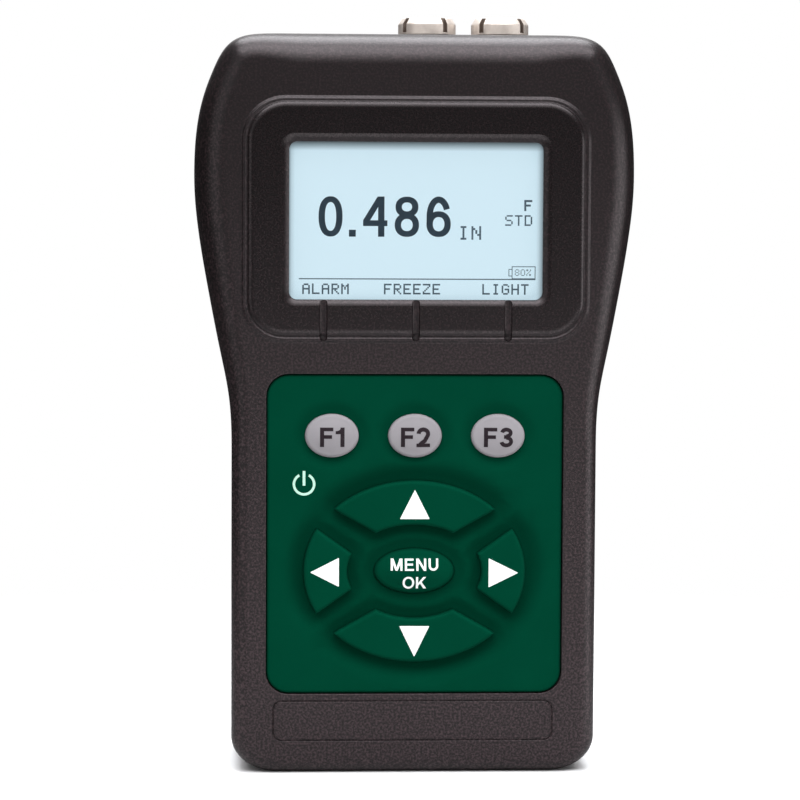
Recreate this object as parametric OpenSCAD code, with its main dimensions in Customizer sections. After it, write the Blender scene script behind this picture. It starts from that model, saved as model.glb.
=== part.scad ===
// Handheld ultrasonic thickness gauge: two-part moulded case with a flared head, a raised
// display pad, a silicone keypad, two coaxial probe sockets on top and a two-cell battery
// bay behind a hinged door.
// Frame: +Z runs up the case, the front faces -Y, +X is to the right seen from the front.
// The origin is the centre of the footprint on the bottom face. Millimetres.

/* [Case] */
// Height of the case, without the sockets
case_h = 131; // [130:0.5:136]
// Width of the straight grip
grip_w = 64.8; // [64:0.2:67]
// Greatest width of the head
head_w = 78.2; // [77:0.2:81]
// Depth from the display pad to the back
case_d = 32; // [32:0.5:35]
// Width of the rounding of the two bottom corners, seen from the front
foot_w = 8.2; // [7:0.2:8.4]
// Height of the rounding of the two bottom corners, seen from the front
foot_h = 6.3; // [6.2:0.1:7]
// Wall thickness of both shells
wall = 2.4; // [2.0:0.1:2.6]

/* [Edges] */
// Rounding of the front edge along the grip and the bottom
grip_edge_r = 3; // [2:0.25:3.5]
// Rounding of the front edge along the sides of the head
head_edge_r = 5.8; // [4:0.2:6]
// Rounding of the front edge along the top
top_edge_r = 5.6; // [4.6:0.2:5.8]
// Rounding of the front edge at the two top corners
corner_edge_r = 4.4; // [3:0.2:4.6]
// Rounding of the back edge
back_edge_r = 3.6; // [2.4:0.2:4]

/* [Display] */
// Width of the raised display pad
pad_w = 61.2; // [60.4:0.2:62]
// Height of the raised display pad
pad_h = 43; // [42:0.5:44]
// Width of the screen opening
window_w = 44.7; // [43:0.1:45]
// Height of the screen opening
window_h = 27.7; // [26:0.1:28]
// Width of the bevel around the screen opening
window_bevel = 1.5; // [1:0.1:1.6]
// Width of each pointer groove below the screen
groove_w = 1.4; // [1:0.1:1.8]

/* [Keypad] */
// Width of the keypad opening
keypad_w = 52.6; // [50:0.2:53]
// Height of the keypad opening
keypad_h = 56.9; // [55:0.1:57]
// Slit between a key and the keypad around it
key_gap = 0.2; // [0.15:0.05:0.3]
// Travel of a key
key_travel = 0.8; // [0.4:0.1:0.8]
// Width of a function key
fkey_w = 9.5; // [9:0.1:10.4]
// Height of a function key
fkey_h = 7.8; // [7.4:0.1:8.6]
// Distance between function keys
fkey_pitch = 14.7; // [14.4:0.1:15.2]
// Width across the arrow keys
nav_w = 39.4; // [38:0.2:41]
// Height across the arrow keys
nav_h = 32.3; // [32:0.1:34]
// Width of the centre key
menu_w = 14.4; // [12:0.2:15]
// Height of the centre key
menu_h = 8.2; // [7:0.2:9]

/* [Sockets] */
// Distance between the two probe sockets
socket_pitch = 13.2; // [12.6:0.1:14]
// Place of the left socket to the right of the middle
socket_x = 2.75; // [0:0.05:4]
// Radius of a socket's plug bore
socket_bore_r = 2.55; // [2.4:0.05:2.7]
// Clear depth of a socket's plug bore
socket_bore_depth = 8; // [7:0.5:9]
// Outer radius of a ring nut
nut_r = 5.2; // [4.8:0.1:5.4]
// Height of a ring nut
nut_h = 3; // [2.6:0.1:3.6]

/* [Battery bay] */
// Radius of a cell
cell_r = 7.25; // [7.1:0.05:7.25]
// Length of a cell
cell_len = 50.5; // [50:0.1:50.5]
// Width of the battery door
door_w = 34; // [33.4:0.2:34.4]
// Thickness of the battery door
door_t = 2; // [1.8:0.1:2]
// Radius of the door's hinge pegs
peg_r = 0.6; // [0.5:0.05:0.6]
// Radial clearance of the pegs in their sockets
peg_gap = 0.05; // [0.03:0.01:0.08]

/* [Fasteners] */
// Radius of the case screws
screw_r = 1.4; // [1.2:0.1:1.5]
// Radius of the case screws' heads
screw_head_r = 2.5; // [2.2:0.1:2.6]
// Radius of the board screws
board_screw_r = 0.9; // [0.8:0.05:1]

/* [Hidden] */
$fn = 48;

// Levels along Y, from the display pad's face to the back
y_pad = -case_d/2;
y_step = y_pad + 0.4;
y_face = y_pad + 0.8;
y_lens = y_pad + 1.6;
y_in = y_pad + 3;
y_part = y_pad + 13;
y_board = y_pad + 8;
board_t = 1.6;
y_rear = y_board + board_t;
y_back = case_d/2;
y_back_in = y_back - wall;

// Levels along Z
pad_z = case_h - 32.7;
plateau_z = pad_z + 0.1;
window_z = pad_z - 0.2;
groove_end = pad_z - pad_h/2 + 0.8;
fkey_z = 60.2;
nav_z = 36.1;
keypad_z = 42.68;
label_z = 9.45;

// Keypad levels: face, back, key flange
y_mat = y_face + 0.4;
y_mat_back = y_in + 1.2;
y_flange = y_mat_back + 0.2;
y_fkey = y_pad + 0.15;
y_nav = y_pad + 0.4;
y_tip = y_board - 0.5 - key_travel;

// Display stack
lens_grow = 3;
gasket_t = 0.6;
y_lcd_frame = y_in + gasket_t;
y_glass = y_lcd_frame + 0.3;
y_light = y_glass + 1.8;
lcd_w = 50.4;
lcd_h = 34;

// Sockets
socket_y = 3;
socket_xs = [socket_x, socket_x + socket_pitch];
slot_turns = [-54, -44];
barrel_r = 3.5;
washer_t = 0.4;
socket_top = case_h + washer_t + nut_h;
socket_low = socket_top - 17;
bore_floor = socket_top - 0.2 - socket_bore_depth;
core_r = 2.2;

// Battery bay
bay_hw = 15.4;
bay_wall = 1.5;
bay_z0 = 8;
bay_z1 = bay_z0 + cell_len + 5.5;
y_bay = y_back - 17.2;
cell_x = 7.75;
cell_y = y_back - 9.6;
plate_t = 0.4;
spring_r = 2.8;
spring_wire_r = 0.35;
hinge_z = 9;
hinge_y = y_back - door_t/2;
door_top = bay_z1 + 1.4;
door_gap = 0.2;

// Screws
case_screw_at = [[-24, 10], [24, 10], [-31, case_h - 19], [31, case_h - 19]];
board_screw_at = [[-16, 9.8], [16, 9.8], [-24.5, case_h - 55], [24.5, case_h - 55], [-24.5, case_h - 11], [24.5, case_h - 11]];
screw_seat = y_back - 12;

// Outline of the case seen from the front, right half, from the bottom up.
// Each control point of the flare is [share of the flare, height below the top].
flare = (head_w - grip_w)/2;
flare_points = [[0, -77], [0, -73], [0.008, -69], [0.09, -63], [0.37, -54], [0.63, -45], [0.84, -37], [0.97, -30],
    [1, -24], [0.94, -17], [0.76, -11], [0.455, -5.8], [0.25, -2.8], [-0.07, -0.75], [-0.5, -0.16], [-0.95, -0.04], [-1.4, -0.01], [-1.75, 0], [-2.3, 0]];

function spline(p0, p1, p2, p3, t) =
    0.5*(2*p1 + (p2 - p0)*t + (2*p0 - 5*p1 + 4*p2 - p3)*t*t + (3*p1 - p0 - 3*p2 + p3)*t*t*t);
function flare_at(q) = [grip_w/2 + flare*q[0], case_h + q[1]];
half_outline = concat(
    [for (a = [-90:15:0]) [grip_w/2 - foot_w + foot_w*cos(a), foot_h + foot_h*sin(a)]],
    [[grip_w/2, 30]],
    [for (i = [1:len(flare_points) - 3], t = [0, 0.5])
        flare_at(spline(flare_points[i - 1], flare_points[i], flare_points[i + 1], flare_points[i + 2], t))],
    [flare_at(flare_points[len(flare_points) - 2])]);
half_n = len(half_outline);
outline = concat(half_outline, [for (i = [half_n - 1:-1:0]) [-half_outline[i][0], half_outline[i][1]]]);
outline_n = len(outline);

function unit(v) = v/norm(v);
function edge(i) = unit(outline[(i + 1)%outline_n] - outline[i%outline_n]);
function outward(i) = let (t = unit(edge(i) + edge(i + outline_n - 1))) [t[1], -t[0]];
normals = [for (i = [0:outline_n - 1]) outward(i)];
function inset(d) = [for (i = [0:outline_n - 1]) outline[i] - normals[i]*d];

// Rounding of the front edge at point i: small on the grip, larger on the head and on top, smaller round the top corners
function ramp(z, a, b) = min(1, max(0, (z - a)/(b - a)));
function front_r(i) = let (z = outline[i][1] - case_h, up = max(0, normals[i][1]))
    let (side = grip_edge_r + (head_edge_r - grip_edge_r)*ramp(z, -72, -36))
    let (top = top_edge_r + (corner_edge_r - top_edge_r)*ramp(abs(outline[i][0]), 20.6, 29))
    side + (top - side)*min(1, 1.25*up);
function rounded_ring(a, face, sgn, r) = [for (i = [0:outline_n - 1])
    let (p = outline[i] - normals[i]*r[i]*(1 - cos(a))) [p[0], face + sgn*r[i]*(1 - sin(a)), p[1]]];
function flat_ring(d, y) = [for (p = inset(d)) [p[0], y, p[1]]];

// A closed solid through rings of points that are mirror-symmetric about X = 0, ordered front to back
module loft(rings) {
    m = len(rings[0]);
    n = len(rings);
    h = m/2;
    polyhedron(points = [for (r = rings) each r], faces = concat(
        [for (k = [0:n - 2], i = [0:m - 1]) each [
            [k*m + i, k*m + (i + 1)%m, (k + 1)*m + (i + 1)%m],
            [k*m + i, (k + 1)*m + (i + 1)%m, (k + 1)*m + i]]],
        [for (i = [0:h - 2]) each [[i, m - 1 - i, m - 2 - i], [i, m - 2 - i, i + 1]]],
        [for (i = [0:h - 2]) let (o = (n - 1)*m) each [[o + i, o + m - 2 - i, o + m - 1 - i], [o + i, o + i + 1, o + m - 2 - i]]]));
}

// Extrudes a flat shape, drawn in X and Z, from y0 to y1
module along_y(y0, y1) { translate([0, y1, 0]) rotate([90, 0, 0]) linear_extrude(y1 - y0) children(); }
// A round rod along Y
module y_rod(x, z, r, y0, y1) { translate([x, y1, z]) rotate([90, 0, 0]) cylinder(r = r, h = y1 - y0); }
// A box between two corners
module box(a, b) { translate(a) cube(b - a); }

// Rounded rectangle about [cx, cz], with its own radius at the top and the bottom
function rrect(w, h, rt, rb, cx = 0, cz = 0) = let (n = 6) concat(
    [for (k = [0:n]) let (a = -90 + 90*k/n) [cx + w/2 - rb + rb*cos(a), cz - h/2 + rb + rb*sin(a)]],
    [for (k = [0:n]) let (a = 90*k/n) [cx + w/2 - rt + rt*cos(a), cz + h/2 - rt + rt*sin(a)]],
    [for (k = [0:n]) let (a = 90 + 90*k/n) [cx - w/2 + rt + rt*cos(a), cz + h/2 - rt + rt*sin(a)]],
    [for (k = [0:n]) let (a = 180 + 90*k/n) [cx - w/2 + rb + rb*cos(a), cz - h/2 + rb + rb*sin(a)]]);
function oval(w, h, cx, cz, n = 48) = [for (k = [0:n - 1]) [cx + w/2*cos(360*k/n), cz + h/2*sin(360*k/n)]];
// One arrow key's outline, grown by g on every side. t is the middle direction, a and b the half angles outside and inside
nav_in_w = 23.8;
nav_in_h = 16.6;
function sector(t, a, b, g) = let (n = 14, da = 3.2*g, db = 5.7*g) concat(
    [for (k = [0:n]) let (q = t - (a + da) + 2*(a + da)*k/n) [(nav_w/2 + g)*cos(q), nav_z + (nav_h/2 + g)*sin(q)]],
    [for (k = [0:n]) let (q = t + (b + db) - 2*(b + db)*k/n) [(nav_in_w/2 - g)*cos(q), nav_z + (nav_in_h/2 - g)*sin(q)]]);

// Outline of each key, grown by g
function fkey_shape(i, g) = oval(fkey_w + 2*g, fkey_h + 2*g, (i - 1)*fkey_pitch, fkey_z);
function up_shape(g) = sector(90, 46, 37, g);
function down_shape(g) = sector(270, 46, 37, g);
function right_shape(g) = sector(0, 27.5, 23, g);
function left_shape(g) = sector(180, 27.5, 23, g);
function menu_shape(g) = oval(menu_w + 2*g, menu_h + 2*g, 0, nav_z);
key_at = [[-fkey_pitch, fkey_z], [0, fkey_z], [fkey_pitch, fkey_z], [0, nav_z + 12.3], [0, nav_z - 12.3],
    [-15.8, nav_z], [15.8, nav_z], [0, nav_z]];

// A key: visible cap, retaining flange behind the keypad, and a plunger over its dome
module key(cap, flange, y_top, at) {
    along_y(y_top, y_flange + 0.4) polygon(cap);
    along_y(y_flange, y_flange + 0.8) polygon(flange);
    y_rod(at[0], at[1], 1.6, y_flange + 0.6, y_tip);
}

// A wire of radius r through points that lie in one plane of constant X
module wire(pts, r) {
    n = len(pts);
    s = 8;
    function dir(i) = unit(pts[min(n - 1, i + 1)] - pts[max(0, i - 1)]);
    v = [for (i = [0:n - 1]) let (t = i == 0 ? unit(pts[1] - pts[0]) : i == n - 1 ? unit(pts[n - 1] - pts[n - 2]) : dir(i), w = cross([1, 0, 0], t))
        for (k = [0:s - 1]) pts[i] + [1, 0, 0]*r*cos(360*k/s) + w*r*sin(360*k/s)];
    polyhedron(points = v, faces = concat(
        [for (i = [0:n - 2], k = [0:s - 1]) each [
            [i*s + k, (i + 1)*s + (k + 1)%s, i*s + (k + 1)%s],
            [i*s + k, (i + 1)*s + k, (i + 1)*s + (k + 1)%s]]],
        [for (k = [1:s - 2]) [0, k, k + 1]],
        [for (k = [1:s - 2]) [(n - 1)*s, (n - 1)*s + k + 1, (n - 1)*s + k]]));
}

// A compression spring standing on z0, with its wire's middle line computed as a helix
module coil(x, y, z0, len, turns) {
    s = 6;
    n = turns*14;
    w = spring_wire_r;
    v = [for (i = [0:n]) let (a = 360*turns*i/n, z = z0 + w + (len - 2*w)*i/n)
        for (k = [0:s - 1]) let (b = 360*k/s, q = spring_r + w*cos(b)) [x + q*cos(a), y + q*sin(a), z + w*sin(b)]];
    polyhedron(points = v, faces = concat(
        [for (i = [0:n - 1], k = [0:s - 1]) each [
            [i*s + k, i*s + (k + 1)%s, (i + 1)*s + (k + 1)%s],
            [i*s + k, (i + 1)*s + (k + 1)%s, (i + 1)*s + k]]],
        [for (k = [1:s - 2]) [0, k + 1, k]],
        [for (k = [1:s - 2]) [n*s, n*s + k, n*s + k + 1]]));
}

// Outline of the display pad's plateau, grown by g
function plateau(g) = rrect(pad_w - 1.9 + 2*g, pad_h - 1.8 + 2*g, 6.8 + g, 6.4 + g, 0, plateau_z);

// Front shell: flared face, display pad with a rim round its plateau, bevelled window, keypad opening, grooved bare label field, bosses
module front_housing() {
    front_rs = [for (i = [0:outline_n - 1]) front_r(i)];
    color([0.18, 0.16, 0.16]) difference() {
        union() {
            difference() {
                union() {
                    loft(concat([for (a = [90, 72, 54, 36, 18, 0]) rounded_ring(a, y_face, 1, front_rs)], [flat_ring(0, y_part)]));
                    along_y(y_step + 0.25, y_face + 0.6) polygon(rrect(pad_w, pad_h, 7.6, 7.1, 0, pad_z));
                    along_y(y_step, y_step + 0.3) difference() { polygon(rrect(pad_w, pad_h, 7.6, 7.1, 0, pad_z)); polygon(plateau(0.3)); }
                    loft([for (q = [[-0.75, 0], [-0.4, 0.06], [-0.14, 0.22], [0, 0.5], [0, 1.2]]) [for (p = plateau(q[0])) [p[0], y_pad + q[1], p[1]]]]);
                }
                loft([flat_ring(wall + 2, y_in), flat_ring(wall, y_in + 2), flat_ring(wall, y_part + 1)]);
            }
            for (p = case_screw_at) y_rod(p[0], p[1], 3, y_in - 0.4, y_part);
            for (p = board_screw_at) y_rod(p[0], p[1], 2.2, y_in - 0.4, y_board);
        }
        along_y(y_pad - 1, y_lens) polygon(rrect(window_w, window_h, 1.4, 1.4, 0, window_z));
        loft([for (k = [1.15, 0]) let (g = 2*window_bevel*k)
            [for (p = rrect(window_w + g, window_h + g - 0.5*k, 1.4 + g/3, 1.4 + g/3, 0, window_z + 0.18*k)) [p[0], y_pad + 0.8 - 0.8*k, p[1]]]]);
        along_y(y_lens, y_in + 0.5) polygon(rrect(window_w + lens_grow, window_h + lens_grow, 2.4, 2.4, 0, window_z));
        along_y(y_pad - 1, y_in + 0.5) polygon(rrect(keypad_w, keypad_h, 4, 4, 0, keypad_z));
        for (x = [-16.3, 0, 16.3]) {
            box([x - groove_w/2, y_pad - 1, groove_end], [x + groove_w/2, y_pad + 0.55, window_z - window_h/2 + 0.4]);
            y_rod(x, groove_end, groove_w/2, y_pad - 1, y_pad + 0.55);
            box([x - groove_w/2, y_pad, groove_end], [x + groove_w/2, y_face + 0.35, groove_end + 0.6]);
            y_rod(x, groove_end, groove_w/2, y_pad, y_face + 0.35);
        }
        along_y(y_face - 1, y_face + 0.3) difference() { polygon(rrect(49.7, 7.5, 1.7, 1.7, 0, label_z)); polygon(rrect(48.8, 6.6, 1.25, 1.25, 0, label_z)); }
        for (p = case_screw_at) y_rod(p[0], p[1], screw_r, y_part - 8, y_part + 1);
        for (p = board_screw_at) y_rod(p[0], p[1], board_screw_r, y_board - 3.4, y_board + 1);
    }
}

// Rear shell: rounded back, battery bay, door seat with peg sockets, screw wells, socket holes, seal groove
module rear_housing() {
    back_rs = [for (i = [0:outline_n - 1]) back_edge_r];
    zt = door_top + door_gap;
    color([0.17, 0.15, 0.15]) difference() {
        union() {
            difference() {
                loft(concat([flat_ring(0, y_part)], [for (a = [0, 18, 36, 54, 72, 90]) rounded_ring(a, y_back, -1, back_rs)]));
                loft([flat_ring(wall, y_part - 1), flat_ring(wall, y_back_in - 2), flat_ring(wall + 2, y_back_in)]);
            }
            box([-bay_hw - bay_wall, y_bay - 1.2, bay_z0 - bay_wall], [bay_hw + bay_wall, y_back_in + 0.5, bay_z1 + bay_wall]);
            box([-20, y_back_in - 1.6, 5], [20, y_back_in + 0.5, zt + 2]);
            for (p = case_screw_at) y_rod(p[0], p[1], 3.6, y_part, y_back_in + 0.5);
        }
        // cell space, then the way out of it through the back
        box([-bay_hw, y_bay, bay_z0], [bay_hw, y_back_in - 0.6, bay_z1]);
        box([-bay_hw, y_bay + 8, bay_z0 + 0.65], [bay_hw, y_back + 1, bay_z1]);
        // seat of the door and the sockets of its pegs
        box([-door_w/2 - door_gap, y_back - door_t - 0.1, hinge_z - door_t/2 - 0.3], [door_w/2 + door_gap, y_back + 1, zt]);
        translate([-door_w/2 - 2, hinge_y, hinge_z]) rotate([0, 90, 0]) cylinder(r = peg_r + peg_gap, h = door_w + 4);
        // thumb scoop above the door
        translate([0, y_back + 5.2, zt]) sphere(r = 7.4);
        for (p = case_screw_at) {
            y_rod(p[0], p[1], screw_r + 0.2, y_part - 1, y_back);
            y_rod(p[0], p[1], screw_head_r + 0.3, screw_seat, y_back + 1);
        }
        for (x = socket_xs) translate([x, socket_y, case_h - 8]) cylinder(r = barrel_r + 0.05, h = 9);
        for (s = [-1, 1]) box([s*cell_x - 1.5, y_bay + 0.3, bay_z1 - 1], [s*cell_x + 1.5, y_bay + 1.1, bay_z1 + bay_wall + 1]);
        along_y(y_part - 1, y_part + 1) difference() { polygon(inset(0.75)); polygon(inset(1.65)); }
    }
}

// Soft cord in the groove between the shells
module case_seal() {
    color([0.1, 0.1, 0.1]) along_y(y_part, y_part + 0.95) difference() { polygon(inset(0.8)); polygon(inset(1.6)); }
}

// Four pan-head screws that close the case from behind
module case_screws() {
    color([0.6, 0.6, 0.62]) for (p = case_screw_at) difference() {
        union() {
            y_rod(p[0], p[1], screw_r, y_part - 7, screw_seat + 0.2);
            y_rod(p[0], p[1], screw_head_r, screw_seat, screw_seat + 1.9);
        }
        box([p[0] - 1.6, screw_seat + 1, p[1] - 0.3], [p[0] + 1.6, screw_seat + 3, p[1] + 0.3]);
        box([p[0] - 0.3, screw_seat + 1, p[1] - 1.6], [p[0] + 0.3, screw_seat + 3, p[1] + 1.6]);
    }
}

// Clear window set in its pocket behind the bevel
module display_window() {
    color([0.85, 0.93, 0.96, 0.5]) along_y(y_lens, y_in) polygon(rrect(window_w + lens_grow - 0.4, window_h + lens_grow - 0.4, 2.2, 2.2, 0, window_z));
}

// Foam frame between the window and the display
module window_gasket() {
    color([0.08, 0.08, 0.08]) along_y(y_in, y_in + gasket_t) difference() {
        polygon(rrect(window_w + 4.8, window_h + 4.8, 3, 3, 0, window_z));
        polygon(rrect(window_w + 1.2, window_h + 1.2, 1, 1, 0, window_z));
    }
}

// Folded metal frame that holds the display on the board
module lcd_frame() {
    color([0.7, 0.7, 0.72]) difference() {
        along_y(y_lcd_frame, y_board) polygon(rrect(lcd_w + 1.4, lcd_h + 1.4, 0.8, 0.8, 0, window_z));
        along_y(y_glass, y_board + 1) polygon(rrect(lcd_w + 0.2, lcd_h + 0.2, 0.4, 0.4, 0, window_z));
        along_y(y_lcd_frame - 1, y_glass + 1) polygon(rrect(window_w + 1.6, window_h + 1.6, 0.6, 0.6, 0, window_z));
    }
}

// Display glass
module lcd_glass() {
    color([0.82, 0.92, 0.96]) along_y(y_glass, y_light) polygon(rrect(lcd_w, lcd_h, 0.3, 0.3, 0, window_z));
}

// Light guide behind the glass, stopping short of the contact ledge at the bottom
module backlight_panel() {
    color([0.95, 0.97, 0.98]) box([-lcd_w/2, y_light, window_z - lcd_h/2 + 3], [lcd_w/2, y_board - 0.4, window_z + lcd_h/2]);
}

// Striped elastomer strip that joins the glass to the board
module lcd_connector_strip() {
    color([0.25, 0.25, 0.27]) box([-22, y_light, window_z - lcd_h/2 + 0.5], [22, y_board, window_z - lcd_h/2 + 2.3]);
}

// Silicone keypad: face, flange under the case wall, skirt down to the board, and a hole for each key
module keypad_mat() {
    color([0.01, 0.26, 0.18]) difference() {
        union() {
            along_y(y_mat, y_mat_back) polygon(rrect(keypad_w - 0.5, keypad_h - 0.5, 3.8, 3.8, 0, keypad_z));
            along_y(y_in + 0.05, y_board) polygon(rrect(keypad_w + 2.2, keypad_h + 2.2, 5, 5, 0, keypad_z));
        }
        along_y(y_mat_back, y_board + 1) polygon(rrect(keypad_w - 0.5, keypad_h - 0.5, 3.8, 3.8, 0, keypad_z));
        for (s = concat([for (i = [0:2]) fkey_shape(i, key_gap)],
                [up_shape(key_gap), down_shape(key_gap), left_shape(key_gap), right_shape(key_gap), menu_shape(key_gap)]))
            along_y(y_mat - 1, y_mat_back + 1) polygon(s);
    }
}

module key_f1() { color([0.74, 0.71, 0.73]) key(fkey_shape(0, 0), fkey_shape(0, 0.7), y_fkey, key_at[0]); }
module key_f2() { color([0.74, 0.71, 0.73]) key(fkey_shape(1, 0), fkey_shape(1, 0.7), y_fkey, key_at[1]); }
module key_f3() { color([0.74, 0.71, 0.73]) key(fkey_shape(2, 0), fkey_shape(2, 0.7), y_fkey, key_at[2]); }
module key_up() { color([0.01, 0.29, 0.2]) key(up_shape(0), up_shape(0.7), y_nav, key_at[3]); }
module key_down() { color([0.01, 0.29, 0.2]) key(down_shape(0), down_shape(0.7), y_nav, key_at[4]); }
module key_left() { color([0.01, 0.29, 0.2]) key(left_shape(0), left_shape(0.7), y_nav, key_at[5]); }
module key_right() { color([0.01, 0.29, 0.2]) key(right_shape(0), right_shape(0.7), y_nav, key_at[6]); }
module key_menu() { color([0.01, 0.29, 0.2]) key(menu_shape(0), menu_shape(0.7), y_nav, key_at[7]); }

// One snap dome under each key
module key_domes() {
    color([0.8, 0.8, 0.78]) for (p = key_at) translate([p[0], y_board, p[1]]) rotate([90, 0, 0]) cylinder(r1 = 2.6, r2 = 1.5, h = 0.35);
}

// Circuit board, narrower at the bottom to pass the lower case bosses
module main_board() {
    color([0.05, 0.32, 0.2]) difference() {
        along_y(y_board, y_rear) polygon([[-20, 6.6], [20, 6.6], [20, 13.6], [27.4, 13.6], [27.4, case_h - 7.6],
            [-27.4, case_h - 7.6], [-27.4, 13.6], [-20, 13.6]]);
        for (p = board_screw_at) y_rod(p[0], p[1], board_screw_r + 0.2, y_board - 1, y_rear + 1);
    }
}

// Six screws that hold the board to the front shell
module board_screws() {
    color([0.62, 0.62, 0.64]) for (p = board_screw_at) difference() {
        union() {
            y_rod(p[0], p[1], board_screw_r, y_board - 3, y_rear + 0.2);
            y_rod(p[0], p[1], 1.8, y_rear, y_rear + 1.2);
        }
        box([p[0] - 1.1, y_rear + 0.6, p[1] - 0.25], [p[0] + 1.1, y_rear + 2, p[1] + 0.25]);
    }
}

module processor_chip() {
    color([0.12, 0.12, 0.13]) union() {
        box([-17, y_rear + 0.15, case_h - 47], [-3, y_rear + 1.5, case_h - 33]);
        for (k = [0:9]) {
            box([-18, y_rear, case_h - 46.3 + 1.35*k], [-16.5, y_rear + 0.4, case_h - 45.8 + 1.35*k]);
            box([-3.5, y_rear, case_h - 46.3 + 1.35*k], [-2, y_rear + 0.4, case_h - 45.8 + 1.35*k]);
        }
    }
}

// Screening can over the pulser and receiver
module pulser_shield() {
    color([0.75, 0.75, 0.76]) difference() {
        box([2, y_rear, case_h - 50], [24, y_rear + 4.2, case_h - 31]);
        box([2.4, y_rear - 1, case_h - 49.6], [23.6, y_rear + 3.8, case_h - 31.4]);
    }
}

module power_inductor() {
    color([0.2, 0.2, 0.22]) union() {
        box([-24, y_rear, case_h - 65], [-16, y_rear + 1, case_h - 57]);
        y_rod(-20, case_h - 61, 3.8, y_rear + 0.5, y_rear + 3.6);
    }
}

module board_capacitors() {
    color([0.2, 0.25, 0.45]) for (x = [-8, 22]) y_rod(x, case_h - 18, 2.5, y_rear, y_rear + 6.2);
}

// Round sounder for the thickness alarm, with its sound hole
module buzzer() {
    color([0.1, 0.1, 0.11]) difference() {
        y_rod(-17, case_h - 22, 5.6, y_rear, y_rear + 4.6);
        y_rod(-17, case_h - 22, 1, y_rear + 2.5, y_rear + 6);
    }
}

// Barrel of a socket, fitted from inside: flange under the top wall and a plug bore open at the top
module probe_socket(x) {
    color([0.68, 0.64, 0.6]) translate([x, socket_y, 0]) difference() {
        union() {
            translate([0, 0, socket_low]) cylinder(r = barrel_r, h = socket_top - 0.2 - socket_low);
            translate([0, 0, case_h - wall - 1.6]) cylinder(r = 4.8, h = 1.6);
        }
        translate([0, 0, bore_floor]) cylinder(r = socket_bore_r, h = 20);
        translate([0, 0, socket_low + 1]) cylinder(r = core_r, h = bore_floor - socket_low);
        translate([0, 0, socket_low - 1]) cylinder(r = 1.6, h = 4);
    }
}
module left_probe_socket() { probe_socket(socket_xs[0]); }
module right_probe_socket() { probe_socket(socket_xs[1]); }

// Ring nuts with four spanner slots and a bevelled rim
module socket_nuts() {
    color([0.65, 0.61, 0.58]) for (i = [0, 1]) translate([socket_xs[i], socket_y, case_h + washer_t]) difference() {
        rotate_extrude() polygon([[barrel_r, 0], [nut_r, 0], [nut_r, nut_h - 1], [nut_r - 0.7, nut_h], [barrel_r, nut_h]]);
        for (k = [0:3]) rotate([0, 0, slot_turns[i] + 90*k]) translate([nut_r - 0.8, -0.5, 0.4]) cube([2, 1, nut_h]);
    }
}

module socket_washers() {
    color([0.5, 0.48, 0.46]) for (x = socket_xs) translate([x, socket_y, case_h]) difference() {
        cylinder(r = nut_r - 0.35, h = washer_t);
        translate([0, 0, -1]) cylinder(r = barrel_r + 0.05, h = 3);
    }
}

// Insulating cores, flush with the floor of each plug bore
module socket_insulators() {
    color([0.93, 0.93, 0.9]) for (x = socket_xs) translate([x, socket_y, 0]) difference() {
        translate([0, 0, socket_low + 1]) cylinder(r = core_r, h = bore_floor - socket_low - 1);
        translate([0, 0, socket_low - 1]) cylinder(r = 0.6, h = 20);
    }
}

module socket_contacts() {
    color([0.85, 0.68, 0.3]) for (x = socket_xs) translate([x, socket_y, 0]) difference() {
        translate([0, 0, socket_low - 1.4]) cylinder(r = 0.6, h = bore_floor - 0.2 - socket_low + 1.4);
        translate([0, 0, bore_floor - 4]) cylinder(r = 0.32, h = 5);
    }
}

// Signal wires from the sockets down to the board
module socket_wire(x) {
    z = socket_low - 1.4;
    color([0.3, 0.3, 0.32]) wire([[x, socket_y, z], [x, socket_y, z - 2.5], [x, 2.2, z - 5.4], [x, -0.2, z - 7.8], [x, -3.2, z - 9], [x, y_rear, z - 9.2]], 0.55);
}
module left_socket_wire() { socket_wire(socket_xs[0]); }
module right_socket_wire() { socket_wire(socket_xs[1]); }

// Door: flat plate with a round lower edge, two hinge pegs, stiffening ribs and a thin snap lip at the top
module battery_door() {
    color([0.17, 0.15, 0.15]) union() {
        box([-door_w/2, y_back - door_t, hinge_z], [door_w/2, y_back, door_top]);
        translate([-door_w/2, hinge_y, hinge_z]) rotate([0, 90, 0]) cylinder(r = door_t/2, h = door_w);
        translate([-door_w/2 - 1.6, hinge_y, hinge_z]) rotate([0, 90, 0]) cylinder(r = peg_r, h = door_w + 3.2);
        box([-4, y_back - door_t + 0.3, door_top - 0.2], [4, y_back - 0.7, door_top + 0.12]);
    }
}

// Cells, the left one with its raised end up and the right one turned over
module cell(x, z, flip) {
    translate([x, cell_y, z]) mirror([0, 0, flip]) translate([0, 0, flip*-cell_len]) {
        cylinder(r = cell_r, h = cell_len - 1.2);
        translate([0, 0, cell_len - 1.3]) cylinder(r = 2.7, h = 1.3);
    }
}
module left_cell() { color([0.2, 0.34, 0.48]) cell(-cell_x, bay_z1 - 2*plate_t - cell_len, 0); }
module right_cell() { color([0.2, 0.34, 0.48]) cell(cell_x, bay_z0 + 2*plate_t, 1); }

module battery_springs() {
    gap = bay_z1 - bay_z0 - 3*plate_t - cell_len;
    color([0.8, 0.8, 0.8]) {
        coil(-cell_x, cell_y, bay_z0 + plate_t, gap, 4);
        coil(cell_x, cell_y, bay_z1 - plate_t - gap, gap, 4);
    }
}

// Strip across the bottom of the bay that joins the two cells, with a raised contact under the right one
module battery_link() {
    color([0.8, 0.8, 0.8]) union() {
        box([-bay_hw + 1, cell_y - 5.5, bay_z0], [bay_hw - 1, cell_y + 5, bay_z0 + plate_t]);
        translate([cell_x, cell_y, bay_z0 + plate_t/2]) cylinder(r = 1.5, h = 1.5*plate_t);
    }
}

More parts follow.
